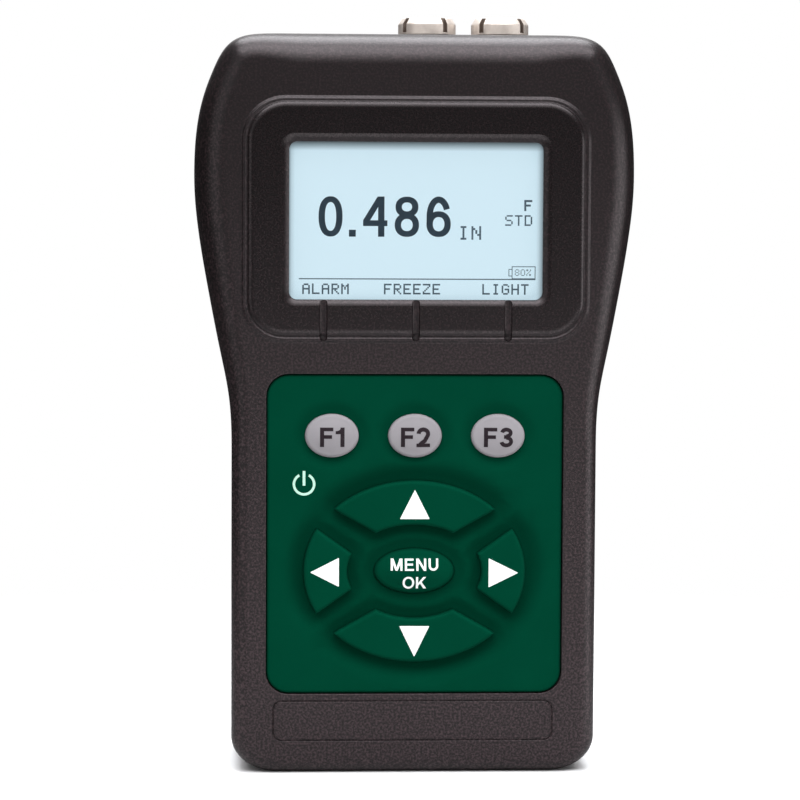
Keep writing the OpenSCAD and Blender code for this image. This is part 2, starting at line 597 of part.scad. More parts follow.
// Two plates at the top of the bay with solder tabs through its wall, the left one with a raised contact
module battery_terminals() {
    color([0.8, 0.8, 0.8]) for (s = [-1, 1]) union() {
        box([s*cell_x - 4, y_bay + 0.5, bay_z1 - plate_t], [s*cell_x + 4, cell_y + 5, bay_z1]);
        box([s*cell_x - 1.2, y_bay + 0.5, bay_z1 - plate_t], [s*cell_x + 1.2, y_bay + 0.9, bay_z1 + 3.5]);
        if (s < 0) translate([s*cell_x, cell_y, bay_z1 - 2*plate_t]) cylinder(r = 1.5, h = 1.5*plate_t);
    }
}

module battery_leads() {
    z = bay_z1 + 3.5;
    y = y_bay + 0.7;
    color([0.6, 0.1, 0.1]) for (s = [-1, 1])
        wire([[s*cell_x, y, z], [s*cell_x, y, z + 1.6], [s*cell_x, y - 1.4, z + 3.4], [s*cell_x, y - 3.6, z + 4.3], [s*cell_x, y_rear, z + 4.5]], 0.5);
}

front_housing();
rear_housing();
case_seal();
case_screws();
display_window();
window_gasket();
lcd_frame();
lcd_glass();
backlight_panel();
lcd_connector_strip();
keypad_mat();
key_f1();
key_f2();
key_f3();
key_up();
key_down();
key_left();
key_right();
key_menu();
key_domes();
main_board();
board_screws();
processor_chip();
pulser_shield();
power_inductor();
board_capacitors();
buzzer();
left_probe_socket();
right_probe_socket();
socket_nuts();
socket_washers();
socket_insulators();
socket_contacts();
left_socket_wire();
right_socket_wire();
battery_door();
left_cell();
right_cell();
battery_springs();
battery_link();
battery_terminals();
battery_leads();
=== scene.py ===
import math

import bmesh
import bpy
import numpy as np
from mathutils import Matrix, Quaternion, Vector
from mathutils.geometry import delaunay_2d_cdt
from mathutils.kdtree import KDTree


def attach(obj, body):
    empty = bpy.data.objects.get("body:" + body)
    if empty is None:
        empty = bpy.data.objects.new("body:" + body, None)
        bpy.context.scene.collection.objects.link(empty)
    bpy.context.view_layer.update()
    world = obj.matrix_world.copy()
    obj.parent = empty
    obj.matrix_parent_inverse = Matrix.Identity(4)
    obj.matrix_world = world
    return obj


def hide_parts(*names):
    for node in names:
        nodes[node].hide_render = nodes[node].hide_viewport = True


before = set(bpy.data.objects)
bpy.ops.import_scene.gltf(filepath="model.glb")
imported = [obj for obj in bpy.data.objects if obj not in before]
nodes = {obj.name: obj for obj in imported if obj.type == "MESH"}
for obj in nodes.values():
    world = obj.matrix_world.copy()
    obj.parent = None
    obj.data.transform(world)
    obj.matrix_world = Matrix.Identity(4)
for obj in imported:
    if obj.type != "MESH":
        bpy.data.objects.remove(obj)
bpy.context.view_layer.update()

MM = 0.001
scene = bpy.context.scene

# ------------------------------------------------------------------ sizes, in millimetres, as in the part
CASE_H, GRIP_W, HEAD_W, FOOT_W, FOOT_H, WALL = 131.0, 64.8, 78.2, 8.2, 6.3, 2.4
Y_PAD, Y_STEP, Y_FACE, Y_LENS, Y_IN = -16.0, -15.6, -15.2, -14.4, -13.0
Y_PART, Y_BOARD, Y_BACK, Y_BACK_IN = -3.0, -8.0, 16.0, 13.6
PAD_Z, PLATEAU_Z, WINDOW_Z, KEYPAD_Z, LABEL_Z, FKEY_Z, FKEY_X, NAV_Z = 98.3, 98.4, 98.1, 42.68, 9.45, 60.2, 14.7, 36.1
Y_MAT, Y_MAT_BACK, Y_FLANGE, Y_TIP = -14.8, -11.8, -11.6, -9.3
Y_FKEY, Y_NAV = -15.85, -15.6
MOAT = 0.95
SOCKET_XS, SOCKET_Y = (2.75, 15.95), 3.0
SCREWS = [(-24, 10), (24, 10), (-31, 112), (31, 112)]


# ------------------------------------------------------------------ mesh building
def inside(points, poly):
    """Which of the points lie inside the closed polygon."""
    x, z = points[:, 0], points[:, 1]
    hit = np.zeros(len(points), bool)
    q = np.asarray(poly, float)
    for (x0, z0), (x1, z1) in zip(q, np.roll(q, -1, axis=0)):
        if z0 == z1:
            continue
        cross = (z0 > z) != (z1 > z)
        hit ^= cross & (x < (x1 - x0) * (z - z0) / (z1 - z0) + x0)
    return hit


class Form:
    """Rings of points in millimetres and the faces between them."""

    def __init__(self):
        self.v, self.f, self.k = [], [], []

    def ring(self, pts):
        s = len(self.v)
        self.v.extend(tuple(map(float, p)) for p in pts)
        return list(range(s, len(self.v)))

    def bridge(self, a, b, slot=0):
        n = len(a)
        for i in range(n):
            j = (i + 1) % n
            self.f.append((a[i], a[j], b[j], b[i]))
            self.k.append(slot)

    def chain(self, rings, slot=0):
        ids = [r if isinstance(r[0], int) else self.ring(r) for r in rings]
        for a, b in zip(ids, ids[1:]):
            self.bridge(a, b, slot)
        return ids[0], ids[-1]

    def cap(self, a, slot=0):
        self.f.append(tuple(a))
        self.k.append(slot)

    def fan(self, a, point, slot=0):
        c = self.ring([point])[0]
        for i, j in zip(a, a[1:] + a[:1]):
            self.f.append((i, j, c))
            self.k.append(slot)

    def fill(self, outer, holes=(), extra=(), slot=0):
        """Triangles over a region seen along Y, with holes, through extra inner points."""
        loops = [list(outer), *[list(h) for h in holes]]
        ids = [i for l in loops for i in l] + self.ring(extra)
        pts = [Vector((self.v[i][0], self.v[i][2])) for i in ids]
        edges, s = [], 0
        for l in loops:
            edges += [(s + i, s + (i + 1) % len(l)) for i in range(len(l))]
            s += len(l)
        out = delaunay_2d_cdt(pts, edges, [], 0, 1e-7)
        back = [o[0] if o else None for o in out[3]]
        tris = [[back[i] for i in f] for f in out[2]]
        tris = [t for t in tris if None not in t]
        flat = np.array([[p.x, p.y] for p in pts])
        mid = flat[np.array(tris)].mean(axis=1)
        keep = inside(mid, [(self.v[i][0], self.v[i][2]) for i in loops[0]])
        for l in loops[1:]:
            keep &= ~inside(mid, [(self.v[i][0], self.v[i][2]) for i in l])
        for t, ok in zip(tris, keep):
            if ok:
                self.f.append(tuple(ids[i] for i in t))
                self.k.append(slot)

    def mesh(self, name):
        me = bpy.data.meshes.new(name)
        me.from_pydata([(x * MM, y * MM, z * MM) for x, y, z in self.v], [], self.f)
        me.polygons.foreach_set("material_index", self.k)
        bm = bmesh.new()
        bm.from_mesh(me)
        bmesh.ops.delete(bm, geom=[v for v in bm.verts if not v.link_faces], context="VERTS")
        bmesh.ops.recalc_face_normals(bm, faces=bm.faces)
        bm.to_mesh(me)
        bm.free()
        return me


def smooth(ob, angle=38.0):
    """Smooth shading, with edges sharper than angle left sharp and flat faces kept flat."""
    me = ob.data
    me.polygons.foreach_set("use_smooth", [True] * len(me.polygons))
    me.set_sharp_from_angle(angle=math.radians(angle))
    m = ob.modifiers.new("flat faces", "WEIGHTED_NORMAL")
    m.keep_sharp = True
    m.weight = 80
    return ob


def add(name, me, mats):
    ob = bpy.data.objects.new(name, me)
    scene.collection.objects.link(ob)
    for m in mats:
        me.materials.append(m)
    return ob


def trim(ob, cutter, operation="DIFFERENCE"):
    """Cuts or joins cutter, a mesh, and removes it."""
    tool = bpy.data.objects.new("tool", cutter)
    scene.collection.objects.link(tool)
    for m in ob.data.materials:
        cutter.materials.append(m)
    mod = ob.modifiers.new("cut", "BOOLEAN")
    mod.operation, mod.solver, mod.object = operation, "EXACT", tool
    bpy.context.view_layer.update()
    dg = bpy.context.evaluated_depsgraph_get()
    new = bpy.data.meshes.new_from_object(ob.evaluated_get(dg))
    ob.modifiers.clear()
    old, ob.data = ob.data, new
    new.name = ob.name
    bpy.data.meshes.remove(old)
    bpy.data.objects.remove(tool)
    bpy.data.meshes.remove(cutter)
    return ob


def piece(ob, body, replaces=()):
    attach(ob, body)
    if replaces:
        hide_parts(*replaces)
    return ob


# ------------------------------------------------------------------ outlines
def rrect(w, h, rt, rb, cz, g=0.0, n=12):
    """Rounded rectangle about X = 0, grown by g, with its own radius at top and bottom."""
    w, h, rt, rb = w + 2 * g, h + 2 * g, max(rt + g, 0.05), max(rb + g, 0.05)
    pts = []
    for sx, sz, r, a0 in ((1, -1, rb, -90), (1, 1, rt, 0), (-1, 1, rt, 90), (-1, -1, rb, 180)):
        for k in range(n + 1):
            a = math.radians(a0 + 90 * k / n)
            pts.append((sx * (w / 2 - r) + r * math.cos(a), cz + sz * (h / 2 - r) + r * math.sin(a)))
    return pts


def oval(w, h, cx, cz, g=0.0, n=72):
    return [(cx + (w / 2 + g) * math.cos(2 * math.pi * k / n), cz + (h / 2 + g) * math.sin(2 * math.pi * k / n)) for k in range(n)]


def at(pts, y):
    return [(x, y, z) for x, z in pts]


FLARE = [(0, -77), (0, -73), (0.008, -69), (0.09, -63), (0.37, -54), (0.63, -45), (0.84, -37), (0.97, -30),
         (1, -24), (0.94, -17), (0.76, -11), (0.455, -5.8), (0.25, -2.8), (-0.07, -0.75), (-0.5, -0.16), (-0.95, -0.04), (-1.4, -0.01), (-1.75, 0), (-2.3, 0)]


def case_outline():
    """Outline of the case seen from the front, as in the part but finer, with the outward normals."""
    half = [(GRIP_W / 2 - FOOT_W + FOOT_W * math.cos(math.radians(a)), FOOT_H + FOOT_H * math.sin(math.radians(a)))
            for a in range(-90, 1, 4)]
    half += [(GRIP_W / 2, z) for z in range(10, 50, 4)]
    line = [np.array((GRIP_W / 2, 50.0))]
    f = np.array(FLARE, float)
    for i in range(1, len(f) - 2):
        a, b, c, d = f[i - 1:i + 3]
        for k in range(20):
            t = k / 20
            q = 0.5 * (2 * b + (c - a) * t + (2 * a - 5 * b + 4 * c - d) * t * t + (3 * b - a - 3 * c + d) * t ** 3)
            line.append(np.array((GRIP_W / 2 + (HEAD_W - GRIP_W) / 2 * q[0], CASE_H + q[1])))
    line += [np.array((GRIP_W / 2 - 1.75 * (HEAD_W - GRIP_W) / 2, CASE_H)), np.array((0.0, CASE_H))]
    line = np.array(line)
    run = np.concatenate([[0], np.cumsum(np.linalg.norm(np.diff(line, axis=0), axis=1))])
    s = np.linspace(0, run[-1], int(run[-1] / 0.62))
    up = np.stack([np.interp(s, run, line[:, 0]), np.interp(s, run, line[:, 1])], 1)
    for _ in range(22):
        up[1:-1] = (up[:-2] + 2 * up[1:-1] + up[2:]) / 4
    up[:, 0] = np.minimum(up[:, 0], HEAD_W / 2)
    half = np.array(half + [tuple(p) for p in up])
    other = half[:-1][::-1] * np.array((-1, 1))
    pts = np.concatenate([half, other])
    low = np.linspace(pts[-1], pts[0], 12)[1:-1]
    pts = np.concatenate([pts, low])
    e = np.roll(pts, -1, axis=0) - pts
    e /= np.linalg.norm(e, axis=1)[:, None]
    t = e + np.roll(e, 1, axis=0)
    t /= np.linalg.norm(t, axis=1)[:, None]
    return pts, np.stack([t[:, 1], -t[:, 0]], 1)


OUT, NRM = case_outline()
RISE = np.clip((OUT[:, 1] - CASE_H + 72) / 36, 0, 1)
SIDE_R = 3.0 + 2.8 * RISE
TOP_R = 5.6 - 1.2 * np.clip((np.abs(OUT[:, 0]) - 20.6) / 8.4, 0, 1)
FRONT_R = SIDE_R + (TOP_R - SIDE_R) * np.minimum(1, 1.25 * np.maximum(0, NRM[:, 1]))
BACK_R = np.full(len(OUT), 3.6)


def hull_ring(d, y):
    p = OUT - NRM * np.reshape(d, (-1, 1))
    return [(a, b, c) for a, b, c in zip(p[:, 0], np.broadcast_to(y, len(p)), p[:, 1])]


def edge_rings(r, face, sign, steps=14):
    """Rings of the rounded edge, from the side of the case to the flat face."""
    out = []
    for k in range(steps + 1):
        a = math.pi / 2 * k / steps
        out.append(hull_ring(r * (1 - math.cos(a)), face + sign * r * (1 - math.sin(a))))
    return out


def sector(t, a, b, g, n=26):
    """Outline of an arrow key grown by g; t is its middle direction, a and b its half angles outside and inside."""
    pts = []
    for k in range(n + 1):
        q = math.radians(t - (a + 3.2 * g) + 2 * (a + 3.2 * g) * k / n)
        pts.append(((39.4 / 2 + g) * math.cos(q), NAV_Z + (32.3 / 2 + g) * math.sin(q)))
    for k in range(n + 1):
        q = math.radians(t + (b + 5.7 * g) - 2 * (b + 5.7 * g) * k / n)
        pts.append(((23.8 / 2 - g) * math.cos(q), NAV_Z + (16.6 / 2 - g) * math.sin(q)))
    return pts


def soft_outline(pts, corner=8, sharp=0.0):
    """Core points with outward directions, so that core + d * direction is the outline grown by d, its corners round, or pointed where sharp is 1."""
    p = np.array(pts, float)
    area = np.sum(p[:, 0] * np.roll(p[:, 1], -1) - np.roll(p[:, 0], -1) * p[:, 1])
    if area < 0:
        p = p[::-1]
    e = np.roll(p, -1, axis=0) - p
    e /= np.linalg.norm(e, axis=1)[:, None]
    core, way = [], []
    for i in range(len(p)):
        n0, n1 = (e[i - 1][1], -e[i - 1][0]), (e[i][1], -e[i][0])
        a0, a1 = math.atan2(n0[1], n0[0]), math.atan2(n1[1], n1[0])
        turn = (a1 - a0 + math.pi) % (2 * math.pi) - math.pi
        if turn > math.radians(18):
            for k in range(corner + 1):
                a = a0 + turn * k / corner
                reach = 1 + sharp * (1 / math.cos(turn * min(k, corner - k) / corner) - 1)
                core.append(p[i])
                way.append((reach * math.cos(a), reach * math.sin(a)))
        else:
            a = a0 + turn / 2
            core.append(p[i])
            way.append((math.cos(a) / math.cos(turn / 2), math.sin(a) / math.cos(turn / 2)))
    return np.array(core), np.array(way)


# ------------------------------------------------------------------ materials
def tree(name):
    m = bpy.data.materials.new(name)
    m.use_nodes = True
    t = m.node_tree
    t.nodes.clear()
    out = t.nodes.new("ShaderNodeOutputMaterial")
    b = t.nodes.new("ShaderNodeBsdfPrincipled")
    t.links.new(b.outputs[0], out.inputs[0])
    where = t.nodes.new("ShaderNodeTexCoord").outputs["Object"]
    return m, t, b, where


def noise(t, where, scale, detail=3.0, rough=0.55, distort=0.0):
    n = t.nodes.new("ShaderNodeTexNoise")
    n.inputs["Scale"].default_value = scale
    n.inputs["Detail"].default_value = detail
    n.inputs["Roughness"].default_value = rough
    n.inputs["Distortion"].default_value = distort
    t.links.new(where, n.inputs["Vector"])
    return n.outputs["Fac"]


def ramp(t, fac, stops):
    r = t.nodes.new("ShaderNodeValToRGB")
    while len(r.color_ramp.elements) < len(stops):
        r.color_ramp.elements.new(0.5)
    for e, (p, c) in zip(r.color_ramp.elements, stops):
        e.position = p
        e.color = (*c, 1.0) if len(c) == 3 else c
    t.links.new(fac, r.inputs[0])
    return r.outputs[0]


def span(t, fac, a0, a1, b0, b1):
    r = t.nodes.new("ShaderNodeMapRange")
    for k, v in zip(("From Min", "From Max", "To Min", "To Max"), (a0, a1, b0, b1)):
        r.inputs[k].default_value = v
    t.links.new(fac, r.inputs["Value"])
    return r.outputs[0]


def bump(t, b, height, distance, strength=1.0, over=None):
    n = t.nodes.new("ShaderNodeBump")
    n.inputs["Strength"].default_value = strength
    n.inputs["Distance"].default_value = distance
    t.links.new(height, n.inputs["Height"])
    if over is not None:
        t.links.new(over, n.inputs["Normal"])
    if b is not None:
        t.links.new(n.outputs[0], b.inputs["Normal"])
    return n.outputs[0]


def material(name, dark, light, rough=(0.4, 0.55), patch=120.0, grain=3000.0, depth=2.0e-5, metal=0.0, spec=0.5, patch_at=(0.35, 0.65)):
    """Colour that drifts between two tones, roughness that drifts with it, and a fine surface grain."""
    m, t, b, where = tree(name)
    drift = noise(t, where, patch, 4.0, 0.6)
    t.links.new(ramp(t, drift, [(patch_at[0], dark), (patch_at[1], light)]), b.inputs["Base Color"])
    fine = noise(t, where, grain, 3.0, 0.6)
    t.links.new(span(t, fine, 0.3, 0.7, rough[0], rough[1]), b.inputs["Roughness"])
    bump(t, b, fine, depth)
    b.inputs["Metallic"].default_value = metal
    b.inputs["Specular IOR Level"].default_value = spec
    return m


def case_plastic():
    """Black moulded plastic with a fine spark-eroded texture."""
    m, t, b, where = tree("case_plastic")
    grains = noise(t, where, 2500.0, 2.0, 0.6)
    fine = noise(t, where, 7000.0, 2.0, 0.5)
    drift = noise(t, where, 45.0, 3.0, 0.5)
    tone = ramp(t, drift, [(0.3, (0.0078, 0.0048, 0.0053)), (0.7, (0.0095, 0.0061, 0.0068))])
    # the raised field round the screen is smoother with a fainter grain, and its colour is darkened: painted shade for
    # the darker reflection it shows
    axes = t.nodes.new("ShaderNodeSeparateXYZ")
    t.links.new(where, axes.inputs[0])
    raised = span(t, axes.outputs["Y"], (Y_FACE - 0.3) * MM, (Y_FACE - 0.7) * MM, 0.0, 1.0)
    tone = times(t, tone, ramp(t, raised, [(0.0, (1.0, 1.0, 1.0)), (1.0, (0.6, 0.6, 0.6))]))
    # the grip is a little duller than the head; its colour is painted paler towards the bottom and darker towards the
    # top, painted light and shade for the light that falls more on the lower face
    up = span(t, axes.outputs["Z"], 0.02, 0.118, 0.0, 1.0)
    rough = span(t, grains, 0.35, 0.65, 0.46, 0.34)
    for share in (span(t, raised, 0.0, 1.0, 1.0, 0.78), span(t, up, 0.0, 1.0, 1.1, 0.88)):
        even = t.nodes.new("ShaderNodeMath")
        even.operation = "MULTIPLY"
        t.links.new(rough, even.inputs[0])
        t.links.new(share, even.inputs[1])
        rough = even.outputs[0]
    t.links.new(rough, b.inputs["Roughness"])
    # painted light and shade: colour 1.5 times paler at the foot of the grip, 0.6 times as dark up on the head
    tone = times(t, tone, ramp(t, up, [(0.0, (1.5, 1.5, 1.5)), (0.5, (1.0, 1.0, 1.0)), (1.0, (0.6, 0.6, 0.6))]))
    t.links.new(times(t, tone, ramp(t, grains, [(0.38, (0.02, 0.02, 0.02)), (0.5, (0.75, 0.75, 0.75)), (0.63, (3.0, 3.0, 3.0))])), b.inputs["Base Color"])
    first = bump(t, None, fine, 0.9e-5)
    coarse = bump(t, b, grains, 1.7e-5, 1.0, first)
    t.links.new(span(t, raised, 0.0, 1.0, 1.0, 0.2), coarse.node.inputs["Strength"])
    b.inputs["Specular IOR Level"].default_value = 0.42
    b.inputs["Specular Tint"].default_value = (1.0, 0.90, 0.93, 1.0)
    return m


def times(t, one, other):
    """Product of two colour patterns."""
    n = t.nodes.new("ShaderNodeMix")
    n.data_type, n.blend_type = "RGBA", "MULTIPLY"
    n.inputs["Factor"].default_value = 1.0
    t.links.new(one, n.inputs["A"])
    t.links.new(other, n.inputs["B"])
    return n.outputs["Result"]


def silicone(name, dark, light, rough=(0.52, 0.64), recess_shade=0.62, shine=0.05):
    """Moulded silicone with a silky, slightly dusty surface, its colour darkened down in the dishes round the keys as
    painted shade.
    """
    m, t, b, where = tree(name)
    drift = noise(t, where, 90.0, 4.0, 0.6)
    axes = t.nodes.new("ShaderNodeSeparateXYZ")
    t.links.new(where, axes.inputs[0])
    depth = span(t, axes.outputs["Y"], (Y_MAT - 0.05) * MM, (Y_MAT + MOAT) * MM, 0.0, 1.0)
    # painted shade: the colour darkens with depth down in the dishes round the keys
    deep = ramp(t, depth, [(0.0, (1.0, 1.0, 1.0)), (1.0, (recess_shade, recess_shade, recess_shade))])
    t.links.new(times(t, ramp(t, drift, [(0.3, dark), (0.7, light)]), deep), b.inputs["Base Color"])
    fine = noise(t, where, 4200.0, 3.0, 0.6)
    t.links.new(span(t, fine, 0.3, 0.7, rough[0], rough[1]), b.inputs["Roughness"])
    bump(t, b, fine, 1.2e-5)
    b.inputs["Specular IOR Level"].default_value = shine
    b.inputs["Specular Tint"].default_value = (*[min(1.0, c / max(light)) for c in light], 1.0)
    return m


def turned_metal(name, dark, light, rough=(0.2, 0.34), rings=9000.0, metal=1.0):
    """Plated metal with fine lathe lines round its axis and light cloudiness."""
    m, t, b, where = tree(name)
    cloud = noise(t, where, 700.0, 4.0, 0.6)
    t.links.new(ramp(t, cloud, [(0.3, dark), (0.7, light)]), b.inputs["Base Color"])
    w = t.nodes.new("ShaderNodeTexWave")
    w.wave_type, w.bands_direction = "BANDS", "Z"
    w.inputs["Scale"].default_value = rings
    w.inputs["Distortion"].default_value = 1.5
    w.inputs["Detail"].default_value = 2.0
    w.inputs["Detail Scale"].default_value = 1.5
    t.links.new(where, w.inputs["Vector"])
    t.links.new(span(t, cloud, 0.3, 0.7, rough[0], rough[1]), b.inputs["Roughness"])
    bump(t, b, w.outputs["Fac"], 2.0e-6)
    b.inputs["Metallic"].default_value = metal
    return m


def screw_heads():
    """Zinc-plated screws, their colour bright on top and darkened down in the cross recess as painted shade."""
    m, t, b, where = tree("screw_zinc")
    cloud = noise(t, where, 900.0, 4.0, 0.6)
    axes = t.nodes.new("ShaderNodeSeparateXYZ")
    t.links.new(where, axes.inputs[0])
    recess_shade = span(t, axes.outputs["Y"], 5.55 * MM, 5.85 * MM, 0.0, 1.0)
    # painted shade: the colour falls to a few percent down in the cross recess
    deep = ramp(t, recess_shade, [(0.0, (0.06, 0.06, 0.06)), (1.0, (1.0, 1.0, 1.0))])
    t.links.new(times(t, ramp(t, cloud, [(0.3, (0.50, 0.50, 0.52)), (0.7, (0.66, 0.66, 0.68))]), deep), b.inputs["Base Color"])
    t.links.new(span(t, cloud, 0.3, 0.7, 0.35, 0.5), b.inputs["Roughness"])
    bump(t, b, noise(t, where, 5000.0, 2.0, 0.5), 6.0e-6)
    b.inputs["Metallic"].default_value = 0.6
    return m


def clear_window():
    """Thin clear window: mostly see-through, with a mirror share that grows at a glancing angle."""
    m, t, b, where = tree("clear_window")
    out = next(n for n in t.nodes if n.type == "OUTPUT_MATERIAL")
    clear = t.nodes.new("ShaderNodeBsdfTransparent")
    clear.inputs[0].default_value = (0.97, 0.985, 0.985, 1)
    b.inputs["Base Color"].default_value = (0.75, 0.82, 0.85, 1)
    smear = noise(t, where, 60.0, 3.0, 0.5)
    t.links.new(span(t, smear, 0.3, 0.7, 0.03, 0.09), b.inputs["Roughness"])
    b.inputs["Metallic"].default_value = 1.0
    # mirror share of one surface, the same from either side of it
    f = t.nodes.new("ShaderNodeLayerWeight")
    f.inputs["Blend"].default_value = 0.5
    share = ramp(t, f.outputs["Facing"], [(0.0, (0.034,) * 3), (0.3, (0.05,) * 3), (0.5, (0.087,) * 3), (0.66, (0.17,) * 3), (0.83, (0.38,) * 3), (1.0, (1.0,) * 3)])
    mix = t.nodes.new("ShaderNodeMixShader")
    t.links.new(share, mix.inputs[0])
    t.links.new(clear.outputs[0], mix.inputs[1])
    t.links.new(b.outputs[0], mix.inputs[2])
    t.links.new(mix.outputs[0], out.inputs[0])
    return m


def lit_glass():
    """Display glass: a pale field with a fine pixel pitch, brighter towards its middle; the field is a painted glow
    that stands in for the light the glass reflects.
    """
    m, t, b, where = tree("display_glass")
    axes = t.nodes.new("ShaderNodeSeparateXYZ")
    t.links.new(where, axes.inputs[0])
    px = span(t, axes.outputs["X"], -0.0226, 0.0226, -1.0, 1.0)
    pz = span(t, axes.outputs["Z"], 0.0840, 0.1122, -1.0, 1.0)

    def power(v, e):
        a = t.nodes.new("ShaderNodeMath")
        a.operation = "ABSOLUTE"
        t.links.new(v, a.inputs[0])
        p = t.nodes.new("ShaderNodeMath")
        p.operation = "POWER"
        t.links.new(a.outputs[0], p.inputs[0])
        p.inputs[1].default_value = e
        return p.outputs[0]

    far = t.nodes.new("ShaderNodeMath")
    far.operation = "ADD"
    t.links.new(power(px, 14.0), far.inputs[0])
    t.links.new(power(pz, 10.0), far.inputs[1])
    cloud = noise(t, where, 55.0, 3.0, 0.5)
    glow = t.nodes.new("ShaderNodeMath")
    glow.operation = "MULTIPLY_ADD"
    t.links.new(cloud, glow.inputs[0])
    glow.inputs[1].default_value = 0.18
    t.links.new(far.outputs[0], glow.inputs[2])
    # painted shadow: the glow is darkened along the edges where the rim of the opening shades the glass, most of all
    # along the top
    rim = ramp(t, span(t, axes.outputs["Z"], 0.1121, 0.1104, 0.0, 1.0), [(0.0, (0.05, 0.05, 0.05)), (0.5, (0.5, 0.5, 0.5)), (1.0, (1, 1, 1))])
    rim = times(t, rim, ramp(t, span(t, axes.outputs["X"], -0.0225, -0.0213, 0.0, 1.0), [(0.0, (0.25, 0.25, 0.25)), (0.5, (0.85, 0.85, 0.85)), (1.0, (1, 1, 1))]))
    rim = times(t, rim, ramp(t, span(t, axes.outputs["X"], 0.0225, 0.0215, 0.0, 1.0), [(0.0, (0.45, 0.45, 0.45)), (0.6, (0.85, 0.85, 0.85)), (1.0, (1, 1, 1))]))
    field = ramp(t, glow.outputs[0], [(0.05, (0.655, 0.815, 0.910)), (0.5, (0.635, 0.795, 0.89)), (1.0, (0.56, 0.71, 0.80))])
    # painted glow: the display's brightness comes from this emission, not from the lamps
    t.links.new(times(t, field, rim), b.inputs["Emission Color"])
    b.inputs["Emission Strength"].default_value = 1.015
    t.links.new(ramp(t, cloud, [(0.3, (0.030, 0.040, 0.045)), (0.7, (0.036, 0.047, 0.052))]), b.inputs["Base Color"])
    fine = noise(t, where, 3600.0, 1.0, 0.4)
    t.links.new(span(t, fine, 0.3, 0.7, 0.4, 0.5), b.inputs["Roughness"])
    return m


CASE = case_plastic()
GREEN = silicone("keypad_silicone", (0.0003, 0.0362, 0.0185), (0.0004, 0.0405, 0.0209), (0.52, 0.64), 0.68)
GREY = silicone("function_key_silicone", (0.240, 0.229, 0.243), (0.276, 0.263, 0.279), (0.5, 0.62), 0.8, 0.12)
INK = material("dark_print", (0.0125, 0.0075, 0.0105), (0.018, 0.0115, 0.0155), (0.5, 0.62), 900.0, 5000.0, 4e-6, 0.0, 0.15)
WHITE = material("white_print", (0.80, 0.83, 0.81), (0.90, 0.92, 0.90), (0.45, 0.6), 900.0, 5000.0, 4e-6)
MINT = material("mint_print", (0.40, 0.66, 0.53), (0.48, 0.74, 0.61), (0.45, 0.6), 900.0, 5000.0, 4e-6)
DIGIT = material("display_digits", (0.016, 0.028, 0.041), (0.021, 0.035, 0.050), (0.4, 0.55), 700.0, 5000.0, 2e-6, 0.0, 0.2)
PIXEL = material("display_pixels", (0.066, 0.094, 0.120), (0.084, 0.116, 0.144), (0.4, 0.55), 700.0, 5000.0, 2e-6, 0.0, 0.2)
NICKEL = turned_metal("socket_nickel", (0.65, 0.572, 0.515), (0.77, 0.69, 0.622), (0.32, 0.46), 9000.0, 0.5)
# darker copy of the socket nickel for the slot faces: painted shade in the slots
SHADED_SLOT = turned_metal("shaded_slot_nickel", (0.15, 0.115, 0.095), (0.23, 0.18, 0.15), (0.4, 0.55), 9000.0, 0.5)
# darker copy of the socket nickel for the washers: painted shade under the nuts
SHADED_WASHER = turned_metal("shaded_washer_nickel", (0.33, 0.30, 0.28), (0.45, 0.41, 0.385), (0.3, 0.45))
STEEL = turned_metal("screw_steel", (0.42, 0.42, 0.44), (0.58, 0.58, 0.60), (0.25, 0.4))
HEADS = screw_heads()
SPRING = turned_metal("spring_steel", (0.55, 0.55, 0.55), (0.72, 0.72, 0.72), (0.18, 0.3))
BRASS = turned_metal("contact_brass", (0.62, 0.42, 0.14), (0.80, 0.58, 0.24), (0.2, 0.32))
FRAME_METAL = turned_metal("frame_steel", (0.5, 0.5, 0.52), (0.64, 0.64, 0.66), (0.3, 0.42))
WINDOW = clear_window()
GLASS = lit_glass()
FOAM = material("gasket_foam", (0.012, 0.012, 0.012), (0.022, 0.022, 0.022), (0.8, 0.95), 300.0, 2600.0, 6e-5)
RUBBER = material("seal_rubber", (0.012, 0.012, 0.012), (0.02, 0.02, 0.021), (0.55, 0.7), 200.0, 3500.0, 1e-5)
GUIDE = material("light_guide", (0.80, 0.83, 0.85), (0.90, 0.92, 0.93), (0.2, 0.32), 80.0, 2000.0, 4e-6)
STRIPE = material("strip_rubber", (0.03, 0.03, 0.033), (0.09, 0.09, 0.095), (0.5, 0.65), 2400.0, 4000.0, 6e-6)
BOARD = material("board_laminate", (0.006, 0.075, 0.036), (0.012, 0.11, 0.055), (0.3, 0.45), 260.0, 2200.0, 8e-6)
CHIP = material("chip_plastic", (0.014, 0.014, 0.015), (0.024, 0.024, 0.026), (0.45, 0.6), 400.0, 4200.0, 8e-6)
FERRITE = material("ferrite", (0.03, 0.03, 0.034), (0.055, 0.055, 0.06), (0.55, 0.7), 500.0, 3000.0, 2e-5)
SLEEVE = material("capacitor_sleeve", (0.03, 0.05, 0.16), (0.045, 0.07, 0.2), (0.3, 0.42), 200.0, 3000.0, 4e-6)
CORE = material("insulator_plastic", (0.76, 0.75, 0.70), (0.86, 0.85, 0.80), (0.35, 0.48), 500.0, 4000.0, 3e-6)
WIRE = material("wire_sleeve", (0.34, 0.03, 0.025), (0.45, 0.05, 0.04), (0.4, 0.55), 400.0, 3000.0, 5e-6)
WRAP = material("cell_wrap", (0.035, 0.10, 0.19), (0.05, 0.13, 0.24), (0.22, 0.34), 60.0, 2600.0, 3e-6)
WRAP_BAND = material("cell_band", (0.52, 0.54, 0.55), (0.62, 0.64, 0.65), (0.22, 0.34), 60.0, 2600.0, 3e-6)


# ------------------------------------------------------------------ front shell
def pad_rim(g):
    return rrect(61.2, 43.0, 7.6, 7.1, PAD_Z, g)


